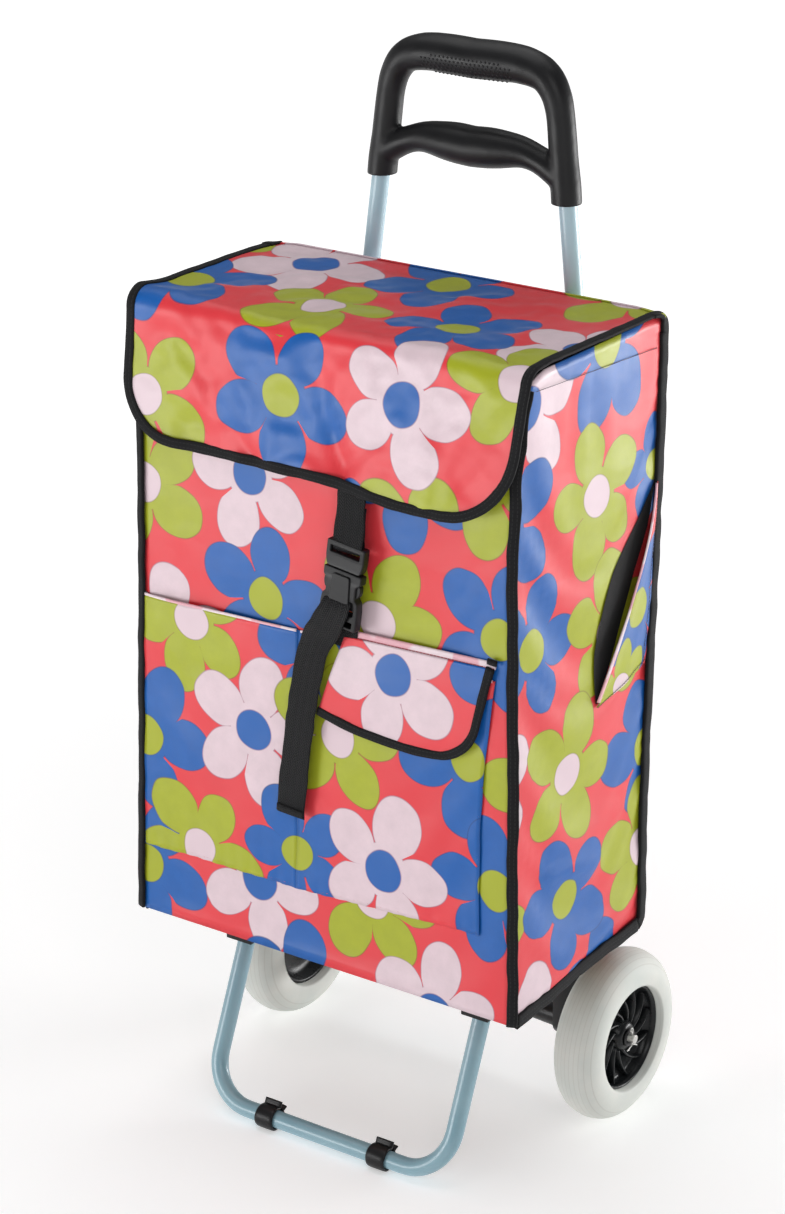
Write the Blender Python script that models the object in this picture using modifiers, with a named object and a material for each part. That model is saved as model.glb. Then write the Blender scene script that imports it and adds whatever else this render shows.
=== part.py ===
"""A two-wheeled shopping trolley: a tube frame with a moulded handle, a folding stand, two wheels
and a fabric bag with a lid, pockets, a strap and a side-release buckle.

Metres. X runs across the trolley, Y backwards and Z up from the ground. Every length below is in
the trolley's own frame, whose Y starts at the bag's bottom front edge; the empty named trolley
carries that frame, and moves it so that the whole object stands centred on the world's origin.
"""

import math

import bmesh
import bpy
from mathutils import Vector

GAP = 0.0003  # between pieces that rest on each other
Y_MIDDLE = 0.1327  # the middle of the whole trolley, in its own frame

# bag
BAG_HALF_WIDTH = 0.2010
BAG_BOTTOM = 0.184
FABRIC = 0.0018
FRONT_LEAN = math.radians(3.144)  # the front leans back
BACK_BOTTOM_Y = 0.2035
BACK_LEAN = math.radians(2.92)  # as the uprights do
FRONT_HEIGHT = 0.571  # along the leaning front
BACK_TOP = 0.7495
BINDING_IN = 0.1988  # the edge bindings run between these distances from the middle
BINDING_OUT = 0.2050
FRONT_BINDING_HEIGHT = 0.545

# lid and its flap
LID_HINGE = (0.0, 0.2325, 0.7505)
FOLD = (0.0, 0.0327, 0.7560)  # where the flap turns down from the lid
LID_FRONT = (0.0330, 0.7575)  # the lid's upper face, in Y and Z
LID_BACK = (0.2335, 0.7525)
FLAP_FLARE = math.radians(4.56)  # the flap stands forward of the bag's front
FLAP_LENGTH = 0.133
FLAP_HALF_WIDTH = 0.2035
FLAP_CORNER = 0.052
FLAP_FACE = 0.0034  # from the fold's axis to the flap's outer face
LID_BINDING = 0.008

# front pockets, on the bag's front: X, and the height along the front
POCKET_FACE = 0.0022
POCKET_LEFT = [(-0.1950, 0.0650), (-0.0290, 0.0655), (-0.0275, 0.3035), (-0.1930, 0.3025)]
POCKET_RIGHT = [(-0.0280, 0.0655), (0.1660, 0.0745), (0.1770, 0.3056), (-0.0265, 0.3036)]
POCKET_HINGE = (0.0980, 0.3136)  # the middle of the pocket flap's seam
POCKET_TILT = math.radians(1.96)  # the seam rises to the right
POCKET_FLAP_DEPTH = 0.0034  # from the bag's front to the middle of the flap
POCKET_FLAP_LEFT = (-0.0665, -0.0955)  # the flap's left edge, at the seam and at the bottom
POCKET_FLAP_RIGHT = (0.0775, 0.0690)
POCKET_FLAP_DROP = (0.0765, 0.0925)  # its depth at the left and at the right
POCKET_FLAP_CORNER = 0.030
POCKET_BINDING = 0.007

# side pocket: Y and Z of its mouth's two ends, and how far the mouth stands out
SIDE_MOUTH_TOP = (0.2190, 0.6060)
SIDE_MOUTH_LOW = (0.1282, 0.4336)
SIDE_POCKET_BOTTOM = 0.300
SIDE_GAPE = 0.0112

# strap and buckle
WEBBING_WIDTH = 0.0290
WEBBING = 0.0015
STRAP_X = 0.0340
BUCKLE_CENTRE = (0.0297, 0.3650)  # X, and the height along the front
BUCKLE_TILT = math.radians(7.5)
BUCKLE_DEPTH = 0.01025  # from the bag's front to the buckle's middle
BUCKLE_WIDTH = 0.0385
BUCKLE_THICKNESS = 0.0095
SOCKET_BOTTOM = -0.0415
SOCKET_TOP = 0.0097
PLUG_BOTTOM = 0.0100
PLUG_TOP = 0.0340
PRONG_TIP = -0.0115
PRONG_OUTER = 0.0185
PRONG_INNER = 0.0115

# frame
TUBE = 0.008
UPRIGHT_TOP = 0.872
UPRIGHT_BEND = 0.46
UPRIGHT_FOOT = 0.135
UPRIGHT_SPREAD = 0.118  # how far the uprights part for each metre down
UPRIGHT_LEAN = 0.0508
UPRIGHT_AT = (0.1060, 0.2430, 0.752)  # a point on the right upright's axis
GRIP_FOOT = 0.8245
GRIP_TOP = 0.9385  # the top bar's axis
RAIL_X = 0.131
RAIL_Z = 0.1715
RAIL = 0.007
RAIL_ENDS = (0.098, 0.199)

# axle, brackets and wheels
AXLE = (0.198, 0.080)  # Y and Z
AXLE_RADIUS = 0.004
RUNNING = 0.0001  # between a shaft and its bore
RIVET_BORE = 0.00258
AXLE_END = 0.2020
AXLE_TUBE = 0.008
BRACKET_X = (0.1225, 0.1525)
BOSS_X = 0.090
WHEEL_X = 0.179
WHEEL_RADIUS = 0.080
TYRE_HALF_WIDTH = 0.023
TYRE_RING = 0.0567  # the radius of the middle of the tyre's section
RIM_RADIUS = 0.0485
RIM_HALF_WIDTH = 0.0145
PIN_X = 0.1985

# stand
PIVOT = (0.0708, 0.168)  # Y and Z of the stand's hinge
STAND_X = 0.130
STAND_BAR = (-0.0010, 0.0108)  # Y and Z of the bar's axis
STAND_CORNER = 0.038
COLLAR_HALF_WIDTH = 0.014
CLIP_X = 0.062
CLIP_RADIUS = 0.0116
JAW_ANGLE = math.radians(21.7)

ACROSS_FRONT = (math.pi / 2, 0.0, 0.0)  # an outline's X and Y become X and Z
ACROSS_SIDE = (math.pi / 2, 0.0, math.pi / 2)  # an outline's X and Y become Y and Z
SIDES = {"left": -1, "right": 1}


# ---------------------------------------------------------------- scene, materials and objects


def clear_scene():
    for item in list(bpy.data.objects):
        bpy.data.objects.remove(item, do_unlink=True)


def new_collection(name):
    collection = bpy.data.collections.new(name)
    bpy.context.scene.collection.children.link(collection)
    return collection


def new_material(name, colour, roughness, metallic=0.0):
    material = bpy.data.materials.new(name)
    material.use_nodes = True
    shader = material.node_tree.nodes["Principled BSDF"]
    shader.inputs["Base Color"].default_value = (*colour, 1.0)
    shader.inputs["Roughness"].default_value = roughness
    shader.inputs["Metallic"].default_value = metallic
    return material


clear_scene()
PARTS = new_collection("shopping_trolley")
CUTTERS = new_collection("cutters")
BLUE_PAINT = new_material("pale_blue_paint", (0.35, 0.55, 0.62), 0.3)
BLACK_PLASTIC = new_material("black_plastic", (0.02, 0.02, 0.02), 0.45)
GREY_RUBBER = new_material("grey_rubber", (0.50, 0.53, 0.51), 0.6)
STEEL = new_material("steel", (0.6, 0.6, 0.6), 0.3, 1.0)
FLORAL = new_material("floral_fabric", (0.85, 0.09, 0.12), 0.5)
BLACK_TAPE = new_material("black_tape", (0.02, 0.02, 0.02), 0.7)
BOARD = new_material("hardboard", (0.28, 0.18, 0.10), 0.7)


def add(name, data, material, parent, location=(0, 0, 0), rotation=(0, 0, 0)):
    """A new object; one without a material is a cutter or a guide."""
    item = bpy.data.objects.new(name, data)
    item.parent, item.location, item.rotation_euler = parent, location, rotation
    if material:
        PARTS.objects.link(item)
        data.materials.append(material)
    else:
        CUTTERS.objects.link(item)
        item.hide_render, item.display_type = True, "WIRE"
    return item


def frame(name, parent, location, tilt=0.0, turn=0.0):
    """An empty that carries pieces, tilted about X and then turned about its own Y."""
    empty = bpy.data.objects.new(name, None)
    PARTS.objects.link(empty)
    empty.parent, empty.location = parent, location
    empty.rotation_mode = "ZYX"
    empty.rotation_euler = (tilt, turn, 0.0)
    return empty


# ---------------------------------------------------------------- shapes


def finish_mesh(mesh, build):
    shape = bmesh.new()
    build(shape)
    shape.to_mesh(mesh)
    shape.free()
    return mesh


def block(name, low, high, material, parent):
    size = [top - bottom for bottom, top in zip(low, high)]
    middle = [(top + bottom) / 2 for bottom, top in zip(low, high)]

    def build(shape):
        bmesh.ops.create_cube(shape, size=1.0)
        bmesh.ops.scale(shape, vec=size, verts=shape.verts)

    return add(name, finish_mesh(bpy.data.meshes.new(name), build), material, parent, middle)


def rod(name, start, end, radius, material, parent, end_radius=None, sides=24):
    """A cylinder or cone between two points."""
    start, end = Vector(start), Vector(end)
    run = end - start
    wide = radius if end_radius is None else end_radius

    def build(shape):
        bmesh.ops.create_cone(
            shape, cap_ends=True, segments=sides, radius1=radius, radius2=wide, depth=run.length
        )

    item = add(name, finish_mesh(bpy.data.meshes.new(name), build), material, parent)
    item.location = (start + end) / 2
    item.rotation_euler = run.to_track_quat("Z", "Y").to_euler()
    item.data.shade_smooth()
    item.data.set_sharp_from_angle(angle=math.radians(40))
    return item


def turned(name, profile, material, parent, location, rotation, steps=32):
    """A closed profile of radius and height, turned about its own Z."""

    def build(shape):
        ring = [shape.verts.new((radius, 0.0, height)) for radius, height in profile]
        for one, other in zip(ring, ring[1:] + ring[:1]):
            shape.edges.new((one, other))

    mesh = finish_mesh(bpy.data.meshes.new(name), build)
    item = add(name, mesh, material, parent, location, rotation)
    screw = item.modifiers.new("turn", "SCREW")
    screw.steps = screw.render_steps = steps
    screw.use_merge_vertices = True
    screw.merge_threshold = 0.00001
    return item


def plate(name, outline, thickness, material, parent, location, rotation):
    """A flat outline with a thickness, its middle at its location."""
    curve = bpy.data.curves.new(name, "CURVE")
    curve.dimensions, curve.fill_mode, curve.extrude = "2D", "BOTH", thickness / 2
    spline = curve.splines.new("POLY")
    spline.points.add(len(outline) - 1)
    for point, (across, up) in zip(spline.points, outline):
        point.co = (across, up, 0.0, 1.0)
    spline.use_cyclic_u = True
    return add(name, curve, material, parent, location, rotation)


def tube(name, path, radius, material, parent, sides=12, widths=None):
    """A round bar along a path; widths scale its radius point by point."""
    curve = bpy.data.curves.new(name, "CURVE")
    curve.dimensions, curve.bevel_depth, curve.use_fill_caps = "3D", radius, True
    curve.bevel_resolution = (sides - 4) // 2
    spline = curve.splines.new("POLY")
    spline.points.add(len(path) - 1)
    for point, place, width in zip(spline.points, path, widths or [1.0] * len(path)):
        point.co, point.radius = (*place, 1.0), width
    return add(name, curve, material, parent)


def ribbon(name, path, width, material, parent):
    """A webbing strap along a path of X, depth before the bag's front and height."""
    half = width / 2

    def build(shape):
        rows = [
            [shape.verts.new((x + side * half, -depth, up)) for side in (-1, 1)]
            for x, depth, up in path
        ]
        for lower, upper in zip(rows, rows[1:]):
            shape.faces.new((lower[0], lower[1], upper[1], upper[0]))

    item = add(name, finish_mesh(bpy.data.meshes.new(name), build), material, parent)
    shell = item.modifiers.new("thickness", "SOLIDIFY")
    shell.thickness, shell.offset = WEBBING, 0.0
    return item


def as_mesh(curve_item):
    """The same object as a mesh, so that it can be cut or joined."""
    bpy.context.view_layer.update()
    seen = curve_item.evaluated_get(bpy.context.evaluated_depsgraph_get())
    mesh = bpy.data.meshes.new_from_object(seen)
    shape = bmesh.new()
    shape.from_mesh(mesh)
    bmesh.ops.remove_doubles(shape, verts=shape.verts, dist=0.00001)
    bmesh.ops.recalc_face_normals(shape, faces=shape.faces)
    shape.to_mesh(mesh)
    shape.free()
    name, material = curve_item.name, curve_item.data.materials[:]
    parent, place = curve_item.parent, curve_item.matrix_world.copy()
    bpy.data.objects.remove(curve_item, do_unlink=True)
    mesh.materials.clear()
    item = add(name, mesh, material[0] if material else None, parent)
    bpy.context.view_layer.update()
    item.matrix_world = place
    return item


def cut(piece, *cutters, join=False):
    for cutter in cutters:
        boolean = piece.modifiers.new(cutter.name, "BOOLEAN")
        boolean.object, boolean.solver = cutter, "EXACT"
        boolean.operation = "UNION" if join else "DIFFERENCE"
    return piece


def rounded(corners, radii, steps=6):
    """A path through corners, each inner one turned by an arc of its radius."""
    corners = [Vector(corner) for corner in corners]
    if not isinstance(radii, (list, tuple)):
        radii = [radii] * (len(corners) - 2)
    path = [corners[0]]
    for before, corner, after, radius in zip(corners, corners[1:], corners[2:], radii):
        back, on = (before - corner).normalized(), (after - corner).normalized()
        half = back.angle(on) / 2
        centre = corner + (back + on).normalized() * radius / math.sin(half)
        start = corner + back * radius / math.tan(half) - centre
        end = corner + on * radius / math.tan(half) - centre
        sweep = start.angle(end)
        for step in range(steps + 1):
            part = step / steps
            arm = start * math.sin((1 - part) * sweep) + end * math.sin(part * sweep)
            path.append(centre + arm / math.sin(sweep))
    return path + [corners[-1]]


# ---------------------------------------------------------------- frame


def upright_point(side, height):
    """A point on an upright's axis."""
    x, y, z = UPRIGHT_AT
    across = x + UPRIGHT_SPREAD * (z - max(height, UPRIGHT_BEND))
    return Vector((side * across, y + UPRIGHT_LEAN * (height - z), height))


def make_uprights(root):
    for name, side in SIDES.items():
        heights = (UPRIGHT_TOP, UPRIGHT_BEND, UPRIGHT_FOOT)
        path = rounded([upright_point(side, height) for height in heights], 0.35, 5)
        tube(f"upright_{name}", path, TUBE, BLUE_PAINT, root)


def grip_point(x, height):
    """A point in the uprights' plane."""
    return Vector((x, UPRIGHT_AT[1] + UPRIGHT_LEAN * (height - UPRIGHT_AT[2]), height))


def make_grip(root):
    """The moulded handle: a loop with a thick top bar, a cross bar and two sleeves."""
    foot, corner = upright_point(1, GRIP_FOOT), upright_point(1, GRIP_TOP)
    loop = rounded(
        [foot, grip_point(corner.x, GRIP_TOP), (0.0, corner.y, GRIP_TOP - 0.0012)], 0.030, 6
    )
    loop = loop[:-1] + [grip_point(0.030, GRIP_TOP - 0.0006), loop[-1]]
    widths = [1.0] * 2 + [1.04] * 5 + [1.08] * 2 + [1.14, 1.18][: len(loop) - 9]
    whole = loop + [Vector((-point.x, point.y, point.z)) for point in loop[-2::-1]]
    grip = as_mesh(
        tube("handle_grip", whole, 0.0148, BLACK_PLASTIC, root, 12, widths + widths[-2::-1])
    )
    half = [(0.0900, 0.8400, 0.9), (0.0780, 0.8525, 1.0), (0.0600, 0.8622, 1.0)]
    half += [(0.0300, 0.8610, 1.24), (0.0, 0.8588, 1.38)]
    bar = half + [(-x, z, width) for x, z, width in half[-2::-1]]
    cross = tube(
        "grip_cross_bar",
        [grip_point(x, z) for x, z, width in bar],
        0.0125,
        None,
        root,
        12,
        [width for x, z, width in bar],
    )
    cut(grip, as_mesh(cross), join=True)
    for side in SIDES.values():
        low, high = upright_point(side, GRIP_FOOT - 0.01), upright_point(side, UPRIGHT_TOP + GAP)
        cut(grip, rod("grip_socket", low, high, TUBE + GAP, None, root))


def make_rails(root):
    for name, side in SIDES.items():
        x = side * RAIL_X
        ends = [(x, y, RAIL_Z) for y in RAIL_ENDS]
        rod(f"base_rail_{name}", *ends, RAIL, BLUE_PAINT, root, sides=16)


def make_brackets(root):
    """The plastic feet that hold an upright, a base rail and the axle."""
    inner, outer = BRACKET_X
    y, z = AXLE
    round_end = [
        (y + 0.015 * math.cos(turn), z + 0.015 * math.sin(turn))
        for turn in [math.radians(-12 - 156 * step / 10) for step in range(11)]
    ]
    outline = [(0.2270, 0.150), *round_end, (0.1865, 0.155), (0.1865, 0.178), (0.2275, 0.178)]
    for name, side in SIDES.items():
        middle = side * (inner + outer) / 2
        bracket = as_mesh(
            plate(
                f"axle_bracket_{name}",
                outline,
                outer - inner,
                BLACK_PLASTIC,
                root,
                (middle, 0, 0),
                ACROSS_SIDE,
            )
        )
        boss = rod(
            "axle_boss",
            (side * (inner + 0.002), y, z),
            (side * BOSS_X, y, z),
            0.0112,
            None,
            root,
            0.0096,
        )
        cut(bracket, boss, join=True)
        low, high = upright_point(side, UPRIGHT_FOOT - GAP), upright_point(side, 0.19)
        rail = [(side * RAIL_X, at, RAIL_Z) for at in (0.18, RAIL_ENDS[1] + GAP)]
        cut(
            bracket,
            rod("upright_hole", low, high, TUBE + GAP, None, root),
            rod("rail_hole", *rail, RAIL + GAP, None, root),
            rod(
                "axle_hole",
                (side * 0.1, y, z),
                (side * 0.16, y, z),
                AXLE_RADIUS + GAP,
                None,
                root,
            ),
            rod(
                "axle_tube_hole",
                (side * 0.07, y, z),
                (side * 0.1268, y, z),
                AXLE_TUBE + GAP,
                None,
                root,
            ),
        )
        back = 0.2273 + GAP
        rod(
            f"bracket_screw_{name}",
            (side * 0.1405, back, 0.164),
            (side * 0.1405, back + 0.0028, 0.164),
            0.0048,
            STEEL,
            root,
            0.0030,
            12,
        )


def make_axle(root):
    y, z = AXLE
    axle = rod(
        "axle_rod", (-AXLE_END, y, z), (AXLE_END, y, z), AXLE_RADIUS, STEEL, root, sides=16
    )
    bore = AXLE_RADIUS + GAP
    half = 0.1265
    turned(
        "axle_tube",
        [(AXLE_TUBE, half), (AXLE_TUBE, -half), (bore, -half), (bore, half)],
        BLUE_PAINT,
        root,
        (0, y, z),
        (0, math.pi / 2, 0),
        16,
    )
    for name, side in SIDES.items():
        pin_hole = [(side * PIN_X, y, z + step) for step in (-0.01, 0.01)]
        cut(axle, rod("pin_hole", *pin_hole, 0.0012, None, root, sides=8))
        washer = [(0.0085, 0.0007), (0.0085, -0.0007), (bore, -0.0007), (bore, 0.0007)]
        turned(
            f"axle_washer_{name}",
            washer,
            STEEL,
            root,
            (side * 0.1952, y, z),
            (0, math.pi / 2, 0),
            20,
        )
        make_split_pin(f"split_pin_{name}", side, root)


def make_split_pin(name, side, root):
    """A wire through the axle's hole, looped above it and bent over below."""
    y, z = AXLE
    x = side * PIN_X
    path = [(x, y + 0.0050, z - 0.0058), (x, y + 0.0012, z - 0.0064), (x, y, z - 0.0050)]
    path += [(x, y, z + 0.0052), (x, y - 0.0014, z + 0.0066), (x, y - 0.0030, z + 0.0058)]
    tube(name, path, 0.0008, STEEL, root, 8)


# ---------------------------------------------------------------- wheels


def make_wheels(root):
    lip = math.radians(109)
    count = 12
    tyre = [
        (
            TYRE_RING + (WHEEL_RADIUS - TYRE_RING) * math.cos(turn),
            TYRE_HALF_WIDTH * math.sin(turn),
        )
        for turn in [lip - 2 * lip * step / count for step in range(count + 1)]
    ]
    web, boss, bore = 0.0030, 0.0110, AXLE_RADIUS + RUNNING
    inside = BRACKET_X[1] + GAP - WHEEL_X
    hub = [
        (RIM_RADIUS, RIM_HALF_WIDTH),
        (RIM_RADIUS, -RIM_HALF_WIDTH),
        (RIM_RADIUS - 0.0035, -RIM_HALF_WIDTH),
        (RIM_RADIUS - 0.0045, -web),
        (boss + 0.001, -web),
        (boss, inside),
        (bore, inside),
        (bore, RIM_HALF_WIDTH + 0.0006),
        (boss, RIM_HALF_WIDTH + 0.0006),
        (boss + 0.001, web),
        (RIM_RADIUS - 0.0045, web),
        (RIM_RADIUS - 0.0035, RIM_HALF_WIDTH),
    ]
    for name, side in SIDES.items():
        axis = frame(f"wheel_axis_{name}", root, (side * WHEEL_X, *AXLE))
        outward = (0, side * math.pi / 2, 0)
        turned(f"tyre_{name}", tyre, GREY_RUBBER, axis, (0, 0, 0), outward)
        turned(f"wheel_hub_{name}", hub, BLACK_PLASTIC, axis, (0, 0, 0), outward)


# ---------------------------------------------------------------- stand


def make_collars(root):
    """The plastic hinge blocks under the bag, each round a leg's end and a base rail's end."""
    y, z = PIVOT
    for name, side in SIDES.items():
        x = side * STAND_X

        def between(half, low, high):
            return (x - half, *low), (x + half, *high)

        collar = block(
            f"stand_collar_{name}",
            *between(COLLAR_HALF_WIDTH, (0.0480, 0.1480), (0.1180, 0.1812)),
            BLACK_PLASTIC,
            root,
        )
        leg_room = block(
            "leg_room", *between(0.0086, (0.0522, 0.13), (0.0940, 0.1785)), None, root
        )
        swing_room = block(
            "swing_room", *between(0.0086, (0.0900, 0.13), (0.1300, 0.1600)), None, root
        )
        rail = [(side * RAIL_X, at, RAIL_Z) for at in (RAIL_ENDS[0] - GAP, 0.13)]
        pin = (x - 0.03, y, z), (x + 0.03, y, z)
        cut(
            collar,
            leg_room,
            swing_room,
            rod("rail_socket", *rail, RAIL + GAP, None, root),
            rod("pin_bore", *pin, RIVET_BORE, None, root, sides=16),
        )
        head = COLLAR_HALF_WIDTH + GAP
        profile = [(0.0045, head + 0.0016), (0.0045, head), (0.0025, head), (0.0025, -head)]
        profile += [(0.0045, -head), (0.0045, -head - 0.0016)]
        axis = [(0.0004, -head - 0.0016), (0.0004, head + 0.0016)]
        turned(
            f"stand_pin_{name}", profile + axis, STEEL, root, (x, y, z), (0, math.pi / 2, 0), 12
        )


def make_stand(root):
    """The U-shaped stand, which folds back about the pins, and its two clips."""
    y, z = PIVOT
    axis = frame("stand_axis", root, (0, y, z))
    bar = Vector((0, STAND_BAR[0] - y, STAND_BAR[1] - z))
    top = -bar.normalized() * 0.005
    right = Vector((STAND_X, 0, 0))
    path = rounded([top - right, bar - right, bar + right, top + right], STAND_CORNER, 7)
    loop = as_mesh(tube("stand_loop", path, TUBE, BLUE_PAINT, axis))
    for side in SIDES.values():
        pin = (side * STAND_X - 0.02, 0, 0), (side * STAND_X + 0.02, 0, 0)
        cut(loop, rod("leg_bore", *pin, RIVET_BORE, None, axis, sides=16))
    for name, side in SIDES.items():
        make_clip(f"stand_clip_{name}", side * CLIP_X, axis, bar)


def make_clip(name, x, axis, bar):
    """A clip round the bar: a flat foot below, and an open jaw that faces back and up."""
    inner = TUBE + GAP
    flat = math.asin(STAND_BAR[1] / CLIP_RADIUS)
    jaw_half, jaw_reach, lip = 0.0062, 0.0195, 0.0026
    opening = math.asin((jaw_half + lip) / CLIP_RADIUS)
    start, end = JAW_ANGLE + opening, JAW_ANGLE - opening + 2 * math.pi
    flat_from, flat_to = math.pi + flat, 2 * math.pi - flat

    def at(radius, turn):
        return (radius * math.cos(turn), radius * math.sin(turn))

    def jaw(along, across):
        cosine, sine = math.cos(JAW_ANGLE), math.sin(JAW_ANGLE)
        return (along * cosine - across * sine, along * sine + across * cosine)

    outer = [at(CLIP_RADIUS, start + (flat_from - start) * step / 6) for step in range(7)]
    outer += [at(CLIP_RADIUS, flat_to + (end - flat_to) * step / 3) for step in range(4)]
    outline = [*outer, jaw(jaw_reach, -jaw_half - lip), jaw(jaw_reach, -jaw_half)]
    outline += [jaw(CLIP_RADIUS, -jaw_half), jaw(CLIP_RADIUS - 0.0008, 0)]
    outline += [jaw(CLIP_RADIUS, jaw_half), jaw(jaw_reach, jaw_half)]
    outline += [jaw(jaw_reach, jaw_half + lip)]
    clip = as_mesh(plate(name, outline, 0.017, BLACK_PLASTIC, axis, (x, *bar[1:]), ACROSS_SIDE))
    hole = (x - 0.02, *bar[1:]), (x + 0.02, *bar[1:])
    cut(clip, rod("clip_bore", *hole, inner, None, axis))


# ---------------------------------------------------------------- bag


def make_bag(root, front, back):
    half = BINDING_IN - GAP
    front_top = FRONT_HEIGHT
    block("bag_front", (-half, 0, 0), (half, FABRIC, front_top), FLORAL, front)
    back_height = (BACK_TOP - BAG_BOTTOM) / math.cos(BACK_LEAN)
    block("bag_back", (-half, -FABRIC, 0), (half, 0, back_height), FLORAL, back)
    block(
        "bag_bottom",
        (-half, 0.0028, BAG_BOTTOM),
        (half, BACK_BOTTOM_Y - 0.0026, BAG_BOTTOM + FABRIC),
        FLORAL,
        root,
    )
    inset = 0.0030
    side_outline = [
        (inset, BAG_BOTTOM),
        (BACK_BOTTOM_Y - inset, BAG_BOTTOM),
        (0.2310 - inset, 0.7500),
        (0.0312 + inset, 0.7546),
    ]
    for name, side in SIDES.items():
        middle = side * (BINDING_IN + BAG_HALF_WIDTH) / 2
        plate(
            f"bag_side_{name}",
            side_outline,
            BAG_HALF_WIDTH - BINDING_IN,
            FLORAL,
            root,
            (middle, 0, 0),
            ACROSS_SIDE,
        )
        low, high = sorted((side * BINDING_IN, side * BINDING_OUT))
        block(
            f"binding_front_{name}",
            (low, -0.0012, -0.0040),
            (high, 0.0026, FRONT_BINDING_HEIGHT),
            BLACK_TAPE,
            front,
        )
        block(
            f"binding_back_{name}",
            (low, -0.0026, -0.0040),
            (high, 0.0050, back_height - 0.0045),
            BLACK_TAPE,
            back,
        )
        block(
            f"binding_bottom_{name}",
            (low, 0.0032, BAG_BOTTOM - 0.0040),
            (high, BACK_BOTTOM_Y - 0.0032, BAG_BOTTOM - GAP),
            BLACK_TAPE,
            root,
        )
    block(
        "base_board",
        (-0.190, 0.012, BAG_BOTTOM + FABRIC + GAP),
        (0.190, 0.192, BAG_BOTTOM + FABRIC + GAP + 0.003),
        BOARD,
        root,
    )


def make_loops(root):
    """The fabric loops that hold the bag's back to the uprights."""
    profile = [(0.0101, 0.014), (0.0101, -0.014), (0.0085, -0.014), (0.0085, 0.014)]
    for level, height in {"lower": 0.262, "upper": 0.690}.items():
        for name, side in SIDES.items():
            run = upright_point(side, height + 0.01) - upright_point(side, height - 0.01)
            turn = run.to_track_quat("Z", "Y").to_euler()
            at = upright_point(side, height)
            turned(f"bag_loop_{level}_{name}", profile, BLACK_TAPE, root, at, turn, 20)


def make_side_pocket(root):
    """A patch on the right side whose slanting mouth faces forward and stands open."""
    top, low = Vector(SIDE_MOUTH_TOP), Vector(SIDE_MOUTH_LOW)
    back_edge = [
        (BACK_BOTTOM_Y - 0.0045 + math.tan(BACK_LEAN) * (up - BAG_BOTTOM), up)
        for up in (SIDE_MOUTH_TOP[1], SIDE_POCKET_BOTTOM)
    ]
    far_top = Vector(back_edge[0])
    far_low = Vector(back_edge[1])
    along, deep = 8, 4
    base = BAG_HALF_WIDTH + GAP

    def build(shape):
        rows = []
        for row in range(along + 1):
            part = row / along
            mouth = low.lerp(Vector((min(top.x, far_top.x), top.y)), part)
            far = Vector((low.x, SIDE_POCKET_BOTTOM)).lerp(far_low, min(1.0, 2 * part))
            if part > 0.5:
                far = far_low.lerp(far_top, 2 * part - 1)
            line = []
            for step in range(deep + 1):
                place = mouth.lerp(far, step / deep)
                out = SIDE_GAPE * math.sin(math.pi * part) * math.cos(step / deep * math.pi / 2)
                line.append(shape.verts.new((base + out, *place)))
            rows.append(line)
        for one, other in zip(rows, rows[1:]):
            for step in range(deep):
                corners = (one[step], one[step + 1], other[step + 1], other[step])
                shape.faces.new(corners)
        bmesh.ops.remove_doubles(shape, verts=shape.verts, dist=0.00001)
        bmesh.ops.recalc_face_normals(shape, faces=shape.faces)
        if sum(face.normal.x for face in shape.faces) < 0:
            bmesh.ops.reverse_faces(shape, faces=shape.faces)

    pocket = add(
        "side_pocket", finish_mesh(bpy.data.meshes.new("side_pocket"), build), FLORAL, root
    )
    shell = pocket.modifiers.new("thickness", "SOLIDIFY")
    shell.thickness, shell.offset = 0.0014, 1.0


def make_front_pockets(front):
    for name, outline in {"left": POCKET_LEFT, "right": POCKET_RIGHT}.items():
        thickness = POCKET_FACE - GAP
        middle = -(POCKET_FACE + GAP) / 2
        plate(
            f"front_pocket_{name}",
            outline,
            thickness,
            FLORAL,
            front,
            (0, middle, 0),
            ACROSS_FRONT,
        )


def make_pocket_flap(front):
    x, up = POCKET_HINGE
    axis = frame("pocket_flap_axis", front, (x, -POCKET_FLAP_DEPTH, up), 0.0, -POCKET_TILT)
    left_top, left_low = POCKET_FLAP_LEFT
    right_top, right_low = POCKET_FLAP_RIGHT
    drop_left, drop_right = POCKET_FLAP_DROP

    def edge(inset, corner):
        path = [(left_low, -drop_left + inset), (right_low - inset, -drop_right + inset)]
        path += [(right_top - inset, 0.0)]
        return [tuple(point) for point in rounded(path, corner, 6)]

    inner = edge(POCKET_BINDING + GAP, POCKET_FLAP_CORNER - POCKET_BINDING)
    panel = [*inner, (left_top, 0.0)]
    plate("pocket_flap", panel, 0.0014, FLORAL, axis, (0, 0, 0), ACROSS_FRONT)
    strip = edge(0.0, POCKET_FLAP_CORNER)
    strip += edge(POCKET_BINDING, POCKET_FLAP_CORNER - POCKET_BINDING)[::-1]
    plate("pocket_flap_binding", strip, 0.0022, BLACK_TAPE, axis, (0, 0, 0), ACROSS_FRONT)


# ---------------------------------------------------------------- lid


def make_lid(root):
    axis = frame("lid_axis", root, LID_HINGE)
    y, z = LID_HINGE[1:]
    front_y, front_z = LID_FRONT
    back_y, back_z = LID_BACK
    outline = [
        (front_y - y, front_z - FABRIC - z),
        (back_y - y, back_z - FABRIC - z),
        (back_y - y, back_z - z),
        (front_y - y, front_z - z),
    ]
    plate("lid_top", outline, 2 * 0.2010, FLORAL, axis, (0, 0, 0), ACROSS_SIDE)
    drop = 0.0062
    edge = [
        (front_y - y, front_z - drop - z),
        (back_y - y - 0.001, back_z - drop + 0.0012 - z),
        (back_y - y - 0.001, back_z - z),
        (front_y - y, front_z - z),
    ]
    for name, side in SIDES.items():
        middle = side * (0.2010 + GAP + 0.0024)
        plate(f"lid_binding_{name}", edge, 0.0048, BLACK_TAPE, axis, (middle, 0, 0), ACROSS_SIDE)
    return axis


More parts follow.
